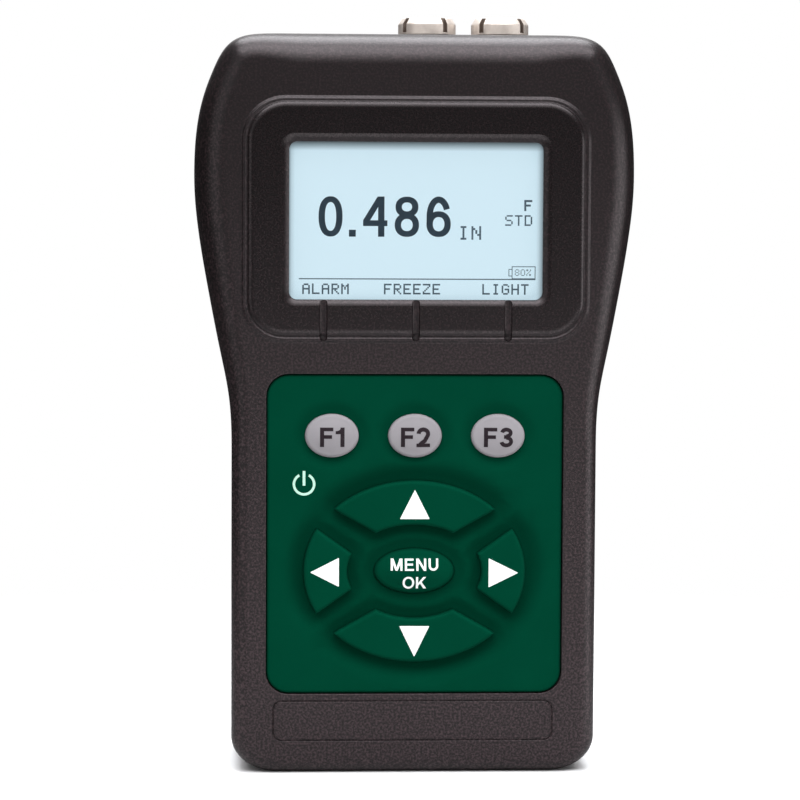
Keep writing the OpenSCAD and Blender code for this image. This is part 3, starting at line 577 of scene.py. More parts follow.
def plateau(g):
    return rrect(59.3, 41.2, 6.8, 6.4, PLATEAU_Z, g)


def bevel(k):
    """Edge of the screen opening, widening by a sloped bevel as k goes from 0 to 1."""
    return rrect(44.7 + 3.0 * k, 27.7 + 2.5 * k, 1.4 + k, 1.4 + k, WINDOW_Z + 0.18 * k)


def keypad_edge(g):
    return rrect(52.6, 56.9, 4.0, 4.0, KEYPAD_Z, g)


def label_line(g):
    return [(x - 0.18, z) for x, z in rrect(49.6, 7.05, 1.475, 1.475, LABEL_Z, g)]


def front_shell():
    s = Form()
    outer = [hull_ring(0.28, Y_PART - 0.02), hull_ring(0.1, Y_PART - 0.1), hull_ring(0.0, Y_PART - 0.34)]
    rim, face = s.chain(outer + edge_rings(FRONT_R, Y_FACE, 1))
    _, within = s.chain([rim, hull_ring(WALL, Y_PART - 0.02), hull_ring(WALL, Y_IN + 2), hull_ring(WALL + 1.6, Y_IN)])
    bead = [(0.3, 0.0), (0.17, 0.025), (0.06, 0.09), (-0.06, 0.2), (-0.17, 0.3), (-0.28, 0.36), (-0.37, 0.375)]
    dip = [(0.46, 0.365), (0.38, 0.345), (0.31, 0.305), (0.24, 0.26), (0.16, 0.24), (0.08, 0.255), (0.01, 0.31), (-0.06, 0.395), (-0.15, 0.49), (-0.26, 0.58), (-0.4, 0.655), (-0.57, 0.715), (-0.78, 0.765), (-1.02, 0.792), (-1.3, 0.8)]
    pad, flat = s.chain([at(pad_rim(g), Y_FACE - h) for g, h in bead] + [at(plateau(g), Y_FACE - h) for g, h in dip])
    slope = [(1.06, 0.0), (1.0, 0.008), (0.825, 0.054), (0.66, 0.11), (0.495, 0.185), (0.33, 0.285), (0.165, 0.405), (0.03, 0.52), (0.0, 0.58), (0.0, 0.7), (0.0, 1.6)]
    pocket = [at(rrect(47.7, 30.7, 2.4, 2.4, WINDOW_Z), y) for y in (Y_LENS, Y_IN)]
    _, window = s.chain([flat] + [at(bevel(k), Y_PAD + h) for k, h in slope] + pocket)
    keypad, keypad_in = s.chain([at(keypad_edge(g), Y_FACE + h) for g, h in
                                 ((0.2, 0.0), (0.1, 0.015), (0.03, 0.06), (0.0, 0.15), (0.0, 0.45), (0.0, 2.2))])
    label, field = s.chain([at(label_line(g), Y_FACE + h) for g, h in
                            ((0.25, 0.0), (0.18, 0.02), (0.14, 0.07), (0.11, 0.17), (0.05, 0.23), (-0.05, 0.23), (-0.11, 0.17), (-0.14, 0.07), (-0.18, 0.02), (-0.25, 0.0))])
    s.fill(face, [pad, keypad, label])
    s.fill(field)
    s.fill(within, [window, keypad_in])
    return add("front_shell", s.mesh("front_shell"), [CASE])


def groove_tool(x):
    """Solid of one pointer groove: round-bottomed, stepping down past the plateau's lower edge and round at its end."""
    s = Form()
    rings = []
    end = PAD_Z - 43.0 / 2 + 0.8
    stops = [(84.65, 0.7), (83.0, 0.7), (80.0, 0.7), (78.4, 0.7), (78.15, 0.7), (77.9, 0.7), (end, 0.7)]
    stops += [(end - 0.7 * math.sin(a), 0.7 * math.cos(a)) for a in (0.35, 0.7, 1.0, 1.25, 1.45)]
    for z, w in stops:
        deep = Y_PAD + 0.55 + 0.6 * min(1.0, max(0.0, (78.4 - z) / 0.7))
        pts = [(x + w, -17.0, z)]
        for k in range(9):
            a = math.pi * k / 8
            pts.append((x + w * math.cos(a), deep - 0.4 + 0.4 * math.sin(a), z))
        pts.append((x - w, -17.0, z))
        rings.append(pts)
    a, b = s.chain(rings)
    s.cap(a)
    s.cap(b)
    return s.mesh("groove")


shell = front_shell()
for gx in (-16.3, 0.0, 16.3):
    trim(shell, groove_tool(gx))
piece(smooth(shell), "case", ["front_housing"])


# ------------------------------------------------------------------ rear shell
def circle(x, z, r, n=40):
    return [(x + r * math.cos(2 * math.pi * k / n), z + r * math.sin(2 * math.pi * k / n)) for k in range(n)]


def seat(g):
    return rrect(34.4, 57.9, 0.8, 0.8, 36.65, g, 6)


def bay(low, g=0.0):
    return rrect(30.8, 64.0 - low, 0.5, 0.5, (64.0 + low) / 2, g, 6)


def rear_shell():
    s = Form()
    outer = [hull_ring(0.28, Y_PART + 0.02), hull_ring(0.1, Y_PART + 0.1), hull_ring(0.0, Y_PART + 0.34)]
    rim, face = s.chain(outer + edge_rings(BACK_R, Y_BACK, -1, 12))
    _, within = s.chain([rim, hull_ring(WALL, Y_PART + 0.02), hull_ring(WALL, Y_BACK_IN - 2), hull_ring(WALL + 1.6, Y_BACK_IN)])
    door, ledge = s.chain([at(seat(g), Y_BACK - h) for g, h in ((0.3, 0.0), (0.14, 0.03), (0.04, 0.12), (0.0, 0.3), (0.0, 2.1))])
    mouth, floor = s.chain([at(bay(8.65, 0.2), 13.9), at(bay(8.65, 0.05), 13.83), at(bay(8.65), 13.65), at(bay(8.65), 13.0),
                            at(bay(8.0), 13.0), at(bay(8.0), -1.0), at(bay(8.0, -0.2), -1.2)])
    s.fill(ledge, [mouth])
    s.fill(floor)
    wells, bosses = [], []
    for x, z in SCREWS:
        top, low = s.chain([at(circle(x, z, r), y) for r, y in (
            (3.1, 16.0), (2.95, 15.96), (2.83, 15.84), (2.8, 15.65), (2.8, 4.0), (1.6, 4.0), (1.6, Y_PART + 0.02), (3.3, Y_PART + 0.02), (3.3, Y_BACK_IN))])
        wells.append(top)
        bosses.append(low)
    thick, cup = s.chain([at(rrect(40.0, 62.6, 0.6, 0.6, 36.3, 0, 6), Y_BACK_IN), at(rrect(40.0, 62.6, 0.6, 0.6, 36.3, 0, 6), 12.0),
                          at(rrect(33.8, 59.0, 0.6, 0.6, 36.0, 0, 6), 12.0), at(rrect(33.8, 59.0, 0.6, 0.6, 36.0, 0, 6), -2.4)])
    s.fill(cup)
    s.fill(face, [door, *wells])
    s.fill(within, [thick, *bosses])
    return add("rear_shell", s.mesh("rear_shell"), [CASE])


def ball(x, y, z, r, n=48):
    s = Form()
    rings = [[(x + r * math.sin(b) * math.cos(2 * math.pi * k / n), y + r * math.cos(b), z + r * math.sin(b) * math.sin(2 * math.pi * k / n))
              for k in range(n)] for b in (math.pi * i / 24 for i in range(1, 24))]
    a, b = s.chain(rings)
    s.fan(a, (x, y + r, z))
    s.fan(b, (x, y - r, z))
    return s.mesh("ball")


def rod_x(x0, x1, y, z, r, n=28, edge=0.15):
    """A rod along X with bevelled ends."""
    s = Form()
    stops = [(x0, r - edge), (x0 + edge, r), (x1 - edge, r), (x1, r - edge)]
    a, b = s.chain([[(x, y + q * math.cos(2 * math.pi * k / n), z + q * math.sin(2 * math.pi * k / n)) for k in range(n)] for x, q in stops])
    s.cap(a)
    s.cap(b)
    return s.mesh("rod")


back = rear_shell()
trim(back, ball(0, 21.2, 65.6, 7.4))
for side in (-1, 1):
    trim(back, rod_x(min(side * 16.9, side * 19.0), max(side * 16.9, side * 19.0), 15.0, 9.0, 0.65, edge=0.02))
piece(smooth(back), "case", ["rear_housing"])


# ------------------------------------------------------------------ battery door
def door():
    s = Form()

    def section(g):
        pts = []
        for cy, cz, r, a0, a1 in ((15.7 - g, 65.1 - g, 0.3, 0, 90), (14.3 + g, 65.1 - g, 0.3, 90, 180), (15.0, 9.0, 1.0 - g, 180, 360)):
            n = 6 if r < 0.5 else 20
            pts += [(cy + r * math.cos(math.radians(a0 + (a1 - a0) * k / n)), cz + r * math.sin(math.radians(a0 + (a1 - a0) * k / n))) for k in range(n + 1)]
        return pts

    stops = [(-17.0, 0.3), (-16.97, 0.18), (-16.88, 0.07), (-16.7, 0.0), (16.7, 0.0), (16.88, 0.07), (16.97, 0.18), (17.0, 0.3)]
    a, b = s.chain([[(x, y, z) for y, z in section(g)] for x, g in stops])
    s.cap(a)
    s.cap(b)
    return add("battery_door_plate", s.mesh("battery_door_plate"), [CASE])


def box_form(lo, hi):
    s = Form()
    a, b = s.chain([[(lo[0], y, lo[2]), (hi[0], y, lo[2]), (hi[0], y, hi[2]), (lo[0], y, hi[2])] for y in (lo[1], hi[1])])
    s.cap(a)
    s.cap(b)
    return s.mesh("box")


lid = door()
trim(lid, rod_x(-18.6, 18.6, 15.0, 9.0, 0.6), "UNION")
trim(lid, box_form((-4.0, 14.3, 65.0), (4.0, 15.3, 65.52)), "UNION")
for k in range(6):
    half = 9.0 - 0.5 * abs(k - 2.5)
    trim(lid, rod_x(-half, half, 16.12, 50.6 + 2.1 * k, 0.55, edge=0.35))
for sx in (-10.5, 0.0, 10.5):
    trim(lid, box_form((sx - 0.7, 13.5, 12.0), (sx + 0.7, 14.35, 61.0)))
piece(smooth(lid), "battery_door", ["battery_door"])


# ------------------------------------------------------------------ keypad
def fkey(i, g):
    return oval(9.6, 7.8, (i - 1) * FKEY_X, FKEY_Z, g)


def menu(g):
    return oval(14.4, 8.2, 0.0, NAV_Z, g)


SOFT = {}
for key, t, a, b in (("key_up", 90, 46, 37), ("key_down", 270, 46, 37), ("key_left", 180, 27.5, 23), ("key_right", 0, 27.5, 23)):
    SOFT[key] = soft_outline(sector(t, a, b, -0.8), 10, 0.72)


def soft(key, d):
    core, way = SOFT[key]
    return [tuple(p) for p in core + way * d]


HOLES = [fkey(0, 0.03), fkey(1, 0.03), fkey(2, 0.03), menu(0.03)] + [soft(k, 0.83) for k in SOFT]


def resample(pts, step):
    p = np.array(pts + pts[:1], float)
    run = np.concatenate([[0], np.cumsum(np.linalg.norm(np.diff(p, axis=0), axis=1))])
    s = np.linspace(0, run[-1], max(8, int(run[-1] / step)), endpoint=False)
    return np.stack([np.interp(s, run, p[:, 0]), np.interp(s, run, p[:, 1])], 1)


def finder(outlines):
    marks = np.concatenate([resample(h, 0.12) for h in outlines])
    tree = KDTree(len(marks))
    for i, (x, z) in enumerate(marks):
        tree.insert((x, z, 0), i)
    tree.balance()
    return tree


near, near_round, near_nav = finder(HOLES), finder(HOLES[:3]), finder(HOLES[3:])


def mat_level(x, z):
    """Height of the keypad's face: a broad dish runs round the arrow keys and a small one round each function key."""
    t = min(1.0, max(0.0, (near_nav.find((x, z, 0))[2] - 0.5) / 3.7))
    u = min(1.0, max(0.0, (near_round.find((x, z, 0))[2] - 0.2) / 2.4))
    return Y_MAT + max(MOAT * (1 - t * t * (3 - 2 * t)), 0.42 * (1 - u * u * (3 - 2 * u)))


def keypad():
    s = Form()

    def edge(g):
        return rrect(52.42, 56.72, 3.91, 3.91, KEYPAD_Z, g)

    top, skirt = s.chain([at(edge(g), y) for g, y in ((-0.62, Y_MAT), (-0.4, Y_MAT + 0.03), (-0.18, Y_MAT + 0.13), (-0.04, Y_MAT + 0.32), (0.0, Y_MAT + 0.55),
                                                       (0.0, Y_IN + 0.05), (1.35, Y_IN + 0.05), (1.35, Y_BOARD), (0.0, Y_BOARD), (0.0, Y_MAT_BACK))])
    tops, lows = [], []
    for k, h in enumerate(HOLES):
        level = Y_MAT + (0.42 if k < 3 else MOAT)
        a, b = s.chain([at(h, level), at(h, Y_MAT_BACK)])
        tops.append(a)
        lows.append(b)
    cand = []
    for d in (0.3, 0.65, 1.05, 1.5, 2.0, 2.6, 3.3, 4.1, 4.8):
        for h in HOLES:
            q = resample(h, 0.45 + 0.16 * d)
            c = np.roll(q, -1, axis=0) - np.roll(q, 1, axis=0)
            c /= np.linalg.norm(c, axis=1)[:, None]
            n = np.stack([c[:, 1], -c[:, 0]], 1)
            if np.sum(q[:, 0] * np.roll(q[:, 1], -1) - np.roll(q[:, 0], -1) * q[:, 1]) < 0:
                n = -n
            cand += [(tuple(p), d) for p in q + n * d]
    gx, gz = np.meshgrid(np.arange(-25.4, 25.5, 1.27), np.arange(15.2, 70.6, 1.27))
    cand += [((x, z), None) for x, z in zip(gx.ravel(), gz.ravel())]
    pts = np.array([c[0] for c in cand])
    ok = inside(pts, edge(-1.0))
    for h in HOLES:
        ok &= ~inside(pts, h)
    extra = []
    kept = []
    for (p, d), good in zip(cand, ok):
        if not good:
            continue
        away = near.find((*p, 0))[2]
        if d is not None and away < 0.9 * d:
            continue
        if d is None and away < 5.3:
            continue
        if away < 0.2:
            continue
        kept.append(p)
    cell = {}
    for p in kept:
        key = (round(p[0] / 0.4), round(p[1] / 0.4))
        if any((key[0] + i, key[1] + j) in cell and math.dist(cell[(key[0] + i, key[1] + j)], p) < 0.22 for i in (-1, 0, 1) for j in (-1, 0, 1)):
            continue
        cell[key] = p
        extra.append((p[0], mat_level(*p), p[1]))
    s.fill(top, tops, extra)
    s.fill(skirt, lows)
    return add("keypad_face", s.mesh("keypad_face"), [GREEN])


piece(smooth(keypad(), 45), "case", ["keypad_mat"])


def oval_key(name, outline, y_top, crown, edge_r, at_xz, mat):
    """A round-edged, crowned key with its flange and plunger."""
    s = Form()
    cx, cz = at_xz
    rings = [at(outline(0.0), Y_FLANGE), at(outline(0.0), -13.6)]
    shoulder = y_top + crown
    for k in range(8):
        a = math.pi / 2 * k / 7
        rings.append(at(outline(-0.05 - edge_r * (1 - math.cos(a))), shoulder + edge_r * 0.9 * (1 - math.sin(a))))
    base, rim = s.chain(rings)
    lip = np.array(outline(-0.05 - edge_r))
    mid = np.array((cx, cz))
    last = rim
    for k in range(1, 9):
        f = 1 - k / 9
        y = shoulder - crown * (1 - f * f)
        ring = s.ring([(x, y, z) for x, z in mid + (lip - mid) * f])
        s.bridge(last, ring)
        last = ring
    s.fan(last, (cx, y_top, cz))
    n = len(lip)
    post = [(cx + 1.6 * math.cos(2 * math.pi * k / n), cz + 1.6 * math.sin(2 * math.pi * k / n)) for k in range(n)]
    _, end = s.chain([base, at(outline(0.7), Y_FLANGE), at(outline(0.7), Y_FLANGE + 0.8), at(post, Y_FLANGE + 0.8), at(post, Y_TIP)])
    s.cap(end)
    return piece(smooth(add(name + "_cap", s.mesh(name), [mat])), name, [name])


def arrow_key(name, at_xz):
    """A flat-topped arrow key with a round edge, its flange and its plunger."""
    s = Form()
    edge_r = 0.6
    rings = [at(soft(name, 0.8), Y_FLANGE), at(soft(name, 0.8), -13.6)]
    for k in range(8):
        a = math.pi / 2 * k / 7
        rings.append(at(soft(name, 0.75 - edge_r * (1 - math.cos(a))), Y_NAV + 0.03 + edge_r * (1 - math.sin(a))))
    rings.append(at(soft(name, 0.02), Y_NAV))
    base, top = s.chain(rings)
    s.fill(top)
    cx, cz = at_xz
    n = 32
    post = [(cx + 1.6 * math.cos(2 * math.pi * k / n), cz + 1.6 * math.sin(2 * math.pi * k / n)) for k in range(n)]
    _, under = s.chain([base, at(soft(name, 1.5), Y_FLANGE), at(soft(name, 1.5), Y_FLANGE + 0.8)])
    foot, end = s.chain([at(post, Y_FLANGE + 0.8), at(post, Y_TIP)])
    s.fill(under, [foot])
    s.cap(end)
    return piece(smooth(add(name + "_cap", s.mesh(name), [GREEN])), name, [name])


for i in range(3):
    oval_key(f"key_f{i + 1}", lambda g, i=i: fkey(i, g), Y_FKEY, 0.5, 0.8, ((i - 1) * FKEY_X, FKEY_Z), GREY)
oval_key("key_menu", menu, Y_NAV, 0.75, 1.2, (0.0, NAV_Z), GREEN)
for name, spot in (("key_up", (0, NAV_Z + 12.3)), ("key_down", (0, NAV_Z - 12.3)), ("key_left", (-15.8, NAV_Z)), ("key_right", (15.8, NAV_Z))):
    arrow_key(name, spot)


# ------------------------------------------------------------------ printed marks
def finer(loop, step):
    """The same closed outline with no edge longer than step."""
    out = []
    for (x0, z0), (x1, z1) in zip(loop, loop[1:] + loop[:1]):
        n = max(1, math.ceil(math.hypot(x1 - x0, z1 - z0) / step))
        out += [(x0 + (x1 - x0) * k / n, z0 + (z1 - z0) * k / n) for k in range(n)]
    return out


def union(areas, step):
    """One flat triangulation of areas that may overlap, each [outline, hole, ...] in X and Z: its points, triangles and rim."""
    pts, edges = [], []
    for area in areas:
        for l in area:
            l = finer(l, step)
            s = len(pts)
            pts += [Vector(p) for p in l]
            edges += [(s + i, s + (i + 1) % len(l)) for i in range(len(l))]
    out = delaunay_2d_cdt(pts, edges, [], 0, 1e-5)
    v = np.array([[p.x, p.y] for p in out[0]])
    tris = np.array([list(f) for f in out[2]])
    mid = v[tris].mean(axis=1)
    keep = np.zeros(len(tris), bool)
    for outer, *holes in areas:
        q = inside(mid, outer)
        for h in holes:
            q &= ~inside(mid, h)
        keep |= q
    tris = tris[keep]
    way = {(int(t[i]), int(t[(i + 1) % 3])) for t in tris for i in range(3)}
    return v, tris, sorted(e for e in way if (e[1], e[0]) not in way)


def printed(name, areas, level, mat, body, thick=0.035, step=0.3):
    """Flat print laid on level(x, z), a few hundredths thick, its foot just under the surface that carries it."""
    v, tris, rim = union(areas, step)
    s = Form()
    top = s.ring([(x, level(x, z) - thick, z) for x, z in v])
    low = s.ring([(x, level(x, z) + 0.02, z) for x, z in v])
    for t in tris:
        s.f += [tuple(top[i] for i in t), tuple(low[i] for i in t[::-1])]
    s.f += [(top[a], top[b], low[b], low[a]) for a, b in rim]
    s.k = [0] * len(s.f)
    return piece(add(name, s.mesh(name), [mat]), body)


def moved(areas, x, z):
    return [[[(a + x, b + z) for a, b in l] for l in area] for area in areas]


def box_loop(x0, z0, x1, z1):
    return [(x0, z0), (x1, z0), (x1, z1), (x0, z1)]


def arc(cx, cz, rx, rz, a0, a1, n=22):
    return [(cx + rx * math.cos(math.radians(a0 + (a1 - a0) * k / n)), cz + rz * math.sin(math.radians(a0 + (a1 - a0) * k / n))) for k in range(n + 1)]


def stroke(path, w):
    """Outline of a line of width w along a path, with square ends."""
    p = np.array(path, float)
    e = np.diff(p, axis=0)
    e /= np.linalg.norm(e, axis=1)[:, None]
    n = np.stack([-e[:, 1], e[:, 0]], 1)
    m = np.concatenate([n[:1], (n[:-1] + n[1:]) / (1 + np.sum(n[:-1] * n[1:], axis=1))[:, None], n[-1:]])
    return [tuple(q) for q in np.concatenate([p + m * w / 2, (p - m * w / 2)[::-1]])]


def hoop(cx, cz, rx, rz, sx, sz, power=2.3, n=64):
    """Closed oval stroke: an outer and an inner oval."""
    def curve(a, b):
        out = []
        for k in range(n):
            c, s = math.cos(2 * math.pi * k / n), math.sin(2 * math.pi * k / n)
            out.append((cx + a * math.copysign(abs(c) ** (2 / power), c), cz + b * math.copysign(abs(s) ** (2 / power), s)))
        return out
    return [curve(rx, rz), curve(rx - sx, rz - sz)]


def letter(c, h, s, slim=1.0):
    """Areas of one upright letter or figure of height h and stroke s, and its width."""
    t = 0.88 * s
    if c == ".":
        w = 1.08 * s
        out = [[box_loop(0, 0, w, 1.05 * s)]]
    elif c == "F":
        w = 0.68 * h
        out = [[box_loop(0, 0, s, h)], [box_loop(0, h - t, w, h)], [box_loop(0, 0.43 * h, 0.9 * w, 0.43 * h + t)]]
    elif c == "E":
        w = 0.76 * h
        out = [[box_loop(0, 0, s, h)], [box_loop(0, h - t, 0.96 * w, h)], [box_loop(0, 0.44 * h, 0.9 * w, 0.44 * h + t)], [box_loop(0, 0, w, t)]]
    elif c == "M":
        w = 0.98 * h
        out = [[box_loop(0, 0, s, h)], [box_loop(w - s, 0, w, h)], [[(0, h), (1.3 * s, h), (w / 2 + 0.52 * s, 0), (w / 2 - 0.52 * s, 0)]],
               [[(w - 1.3 * s, h), (w, h), (w / 2 + 0.52 * s, 0), (w / 2 - 0.52 * s, 0)]]]
    elif c == "N":
        w = 0.83 * h
        out = [[box_loop(0, 0, s, h)], [box_loop(w - s, 0, w, h)], [[(0, h), (1.15 * s, h), (w, 0), (w - 1.15 * s, 0)]]]
    elif c == "U":
        w = 0.81 * h
        r = w / 2 - s / 2
        out = [[stroke([(s / 2, h), (s / 2, r + 0.1 * h)] + arc(w / 2, r + s / 2, r, r, 180, 360)[1:-1] + [(w - s / 2, r + 0.1 * h), (w - s / 2, h)], s)]]
    elif c == "O":
        w = 0.98 * h
        out = [hoop(w / 2, h / 2, w / 2, h / 2 + 0.02 * h, s, t, 2.15)]
    elif c == "K":
        w = 0.86 * h
        out = [[box_loop(0, 0, s, h)], [[(w - 1.4 * s, h), (w - 0.05 * s, h), (0.9 * s, 0.21 * h), (0.9 * s, 0.21 * h + 1.35 * s)]],
               [[(0.34 * w, 0.5 * h), (0.34 * w + 0.85 * s, 0.5 * h + 0.72 * s), (w, 0), (w - 1.32 * s, 0)]]]
    elif c == "1":
        w = 0.46 * h
        out = [[box_loop(w - s, 0, w, h)], [[(0, 0.665 * h), (w - 0.5 * s, 0.665 * h), (w - 0.5 * s, h), (w - 0.85 * s, h), (w - 1.15 * s, 0.885 * h), (0.5 * (w - s), 0.835 * h), (0, 0.815 * h)]]]
    elif c == "2":
        w = 0.7 * h
        rx, rz = w / 2 - s / 2, 0.315 * h - t / 2
        out = [[stroke(arc(w / 2, h - rz - t / 2, rx, rz, 178, -28) + [(0.6 * w, 0.32 * h), (0.36 * w, 0.2 * h), (0.62 * s, 0.06 * h)], s)], [box_loop(0, 0, w, t)]]
    elif c == "3":
        w = 0.71 * h
        ru, rl = 0.262 * h - t / 2, 0.292 * h - t / 2
        out = [[stroke(arc(w / 2, h - ru - t / 2, 0.46 * w - s / 2, ru, 172, -92), 0.95 * s)], [stroke(arc(w / 2, rl + t / 2, w / 2 - s / 2, rl, 92, -172), 0.95 * s)],
               [box_loop(0.33 * w, 0.53 * h - t / 2, 0.56 * w, 0.53 * h + t / 2)]]
    elif c == "0":
        w = 0.615 * h
        out = [hoop(w / 2, h / 2, w / 2, h / 2, s, t)]
    elif c == "4":
        w = 0.625 * h
        out = [[box_loop(0.385 * h, 0, 0.385 * h + s, h)], [box_loop(0, 0.265 * h, w, 0.265 * h + t)],
               [[(0, 0.41 * h), (0.372 * h, h), (0.5 * h, h), (0.5 * h, 0.925 * h), (0.137 * h, 0.335 * h), (0, 0.28 * h)]]]
    elif c == "8":
        w = 0.625 * h
        out = [hoop(w / 2, 0.745 * h, 0.47 * w, 0.255 * h, s, t, 2.2), hoop(w / 2, 0.295 * h, w / 2, 0.295 * h, s, t, 2.2)]
    elif c == "6":
        w = 0.625 * h
        out = [hoop(w / 2, 0.32 * h, w / 2, 0.32 * h, s, t, 2.2), [stroke([(s / 2, 0.3 * h)] + arc(w / 2, 0.52 * h, w / 2 - s / 2, 0.48 * h - t / 2, 180, 24), 0.97 * s)]]
    if slim != 1.0:
        out = [[[(x * slim, z) for x, z in l] for l in area] for area in out]
    return out, w * slim


def line_of(text, h, s, gap, x=0.0, z=0.0):
    """A line of letters of height h centred on x, z."""
    out, run = [], 0.0
    for c in text:
        areas, w = letter(c, h, s)
        out += moved(areas, run, 0)
        run += w + gap
    run -= gap
    return moved(out, x - run / 2, z - h / 2)


def fkey_top(i):
    cx = (i - 1) * FKEY_X

    def level(x, z):
        f = min(1.0, math.hypot((x - cx) / 3.95, (z - FKEY_Z) / 3.05))
        return Y_FKEY + 0.5 * f * f
    return level


def menu_top(x, z):
    f = min(1.0, math.hypot(x / 5.95, (z - NAV_Z) / 2.85))
    return Y_NAV + 0.75 * f * f


for i in range(3):
    printed(f"key_f{i + 1}_print", line_of(f"F{i + 1}", 3.44, 0.72, 0.4, (i - 1) * FKEY_X + 0.04, FKEY_Z - 0.22), fkey_top(i), INK, f"key_f{i + 1}")
printed("key_menu_print", line_of("MENU", 2.12, 0.38, 0.42, 0, NAV_Z + 1.23) + line_of("OK", 2.1, 0.38, 0.3, 0, NAV_Z - 2.0), menu_top, WHITE, "key_menu")


def flat_nav(x, z):
    return Y_NAV


for name, tri in (("key_up", [(0, 50.69), (-2.64, 45.48), (2.64, 45.48)]), ("key_down", [(0, 20.93), (2.68, 26.43), (-2.68, 26.43)]),
                  ("key_left", [(-18.5, 36.02), (-13.4, 33.44), (-13.4, 38.6)]), ("key_right", [(18.41, 35.9), (13.14, 38.5), (13.14, 33.3)])):
    core, way = soft_outline([tuple(np.array(p) * 0.95 + np.mean(tri, axis=0) * 0.05) for p in tri], 4)
    printed(name + "_print", [[[tuple(p) for p in core + way * 0.08]]], flat_nav, WHITE, name)


def power_mark():
    cx, cz, r = -19.6, 51.59, 1.79
    return [[stroke(arc(cx, cz, r, r, 90 + 28, 90 + 360 - 28, 48), 0.44)], [box_loop(cx - 0.24, cz - 0.25, cx + 0.24, cz + 2.35)]]


printed("keypad_power_print", power_mark(), mat_level, MINT, "case")

# ------------------------------------------------------------------ display picture
DOTS = {"A": "01110 10001 10001 11111 10001 10001 10001", "D": "11110 10001 10001 10001 10001 10001 11110",
        "E": "11111 10000 10000 11110 10000 10000 11111", "F": "11111 10000 10000 11110 10000 10000 10000",
        "G": "01110 10001 10000 10111 10001 10001 01110", "H": "10001 10001 10001 11111 10001 10001 10001",
        "I": "01110 00100 00100 00100 00100 00100 01110", "L": "10000 10000 10000 10000 10000 10000 11111",
        "M": "10001 11011 10101 10101 10001 10001 10001", "N": "10001 11001 10101 10101 10011 10001 10001",
        "R": "11110 10001 10001 11110 10100 10010 10001", "S": "01111 10000 10000 01110 00001 00001 11110",
        "T": "11111 00100 00100 00100 00100 00100 00100", "Z": "11111 00001 00010 00100 01000 10000 11111",
        "8": "01110 10001 10001 01110 10001 10001 01110", "0": "01110 10001 10001 10001 10001 10001 01110",
        "%": "11001 11001 00010 00100 01000 10011 10011"}


def dotted(text, x, z, pitch, gap=1.25, fat=0.025):
    """A line of dot-matrix text with its lower left corner at x, z, each dot a little larger than its cell."""
    out = []
    for c, sign in enumerate(text):
        for r, row in enumerate(DOTS[sign].split()):
            for k in range(5):
                if row[k] == "1":
                    x0, z0 = x + (c * (5 + gap) + k) * pitch, z + (6 - r) * pitch
                    out.append([box_loop(x0 - fat, z0 - fat, x0 + pitch + fat, z0 + pitch + fat)])
    return out


def px(x, y):
    return (x - 414.7) * 0.1763, (772 - y) * 0.1782


def reading():
    marks = []
    x, z = px(329.6, 237.4)
    for c, dx in zip("0.486", (0.0, 3.86, 7.9, 13.5, 19.12)):
        areas, w = letter(c, 7.1, 1.16, 0.97)
        marks += moved(areas, x + dx - w / 2, z)
    return marks


def picture():
    marks = []
    marks += dotted("IN", *px(458.2, 240), 0.345, 1.6, 0.0)
    marks += dotted("F", *px(524.4, 211), 0.265, 1.2, 0.05)
    marks += dotted("STD", *px(505, 226), 0.27, 1.4, 0.0)
    x0, z0 = px(512, 278.9)
    x1, z1 = px(536, 266.2)
    t = 0.14
    marks += [[box_loop(x0, z0, x1, z1), box_loop(x0 + t, z0 + t, x1 - t, z1 - t)]]
    marks += [[stroke([(x0 + 0.05, z0 + 0.55), (x0 - 0.5, z0 + 0.55), (x0 - 0.5, z1 - 0.55), (x0 + 0.05, z1 - 0.55)], t)]]
    marks += dotted("80%", x0 + 0.55, z0 + 0.58, 0.163, 1.3, -0.01)
    a, b = px(298, 279.8), px(536, 278.7)
    marks += [[box_loop(a[0], a[1], b[0], b[1])]]
    marks += dotted("ALARM", *px(301.5, 294.4), 0.265, 1.5, 0.012)
    marks += dotted("FREEZE", *px(383.5, 294.4), 0.265, 1.5, 0.012)
    marks += dotted("LIGHT", *px(482.5, 294.4), 0.265, 1.5, 0.012)
    return marks


printed("display_reading", reading(), lambda x, z: -12.12, DIGIT, "case", 0.02, 60.0)
printed("display_marks", picture(), lambda x, z: -12.12, PIXEL, "case", 0.02, 60.0)


# ------------------------------------------------------------------ sockets
def lathe(profile, x, y, n=96, slots=None, closed=True):
    """Turns a profile of (radius, height) round a vertical axis at x, y."""
    s = Form()
    m = len(profile)
    cols = []
    for k in range(n):
        a = 2 * math.pi * k / n
        cols.append(s.ring([(x + r * math.cos(a), y + r * math.sin(a), z) for r, z in profile]))
    for k in range(n):
        c, d = cols[k], cols[(k + 1) % n]
        for i in range(m if closed else m - 1):
            j = (i + 1) % m
            s.f.append((c[i], d[i], d[j], c[j]))
            s.k.append(0 if slots is None else slots[i])
    return s


def slot_tool(x, y, a):
    s = Form()
    c, d = math.cos(a), math.sin(a)
    pts = [(4.4, -0.5), (6.4, -0.5), (6.4, 0.5), (4.4, 0.5)]
    lo, hi = s.chain([[(x + u * c - v * d, y + u * d + v * c, z) for u, v in pts] for z in (131.8, 136.0)])
    s.cap(lo)
    s.cap(hi)
    # the slot faces take material slot 1, the darker nickel painted as shade in the slots
    s.k = [1] * len(s.f)
    return s.mesh("slot")


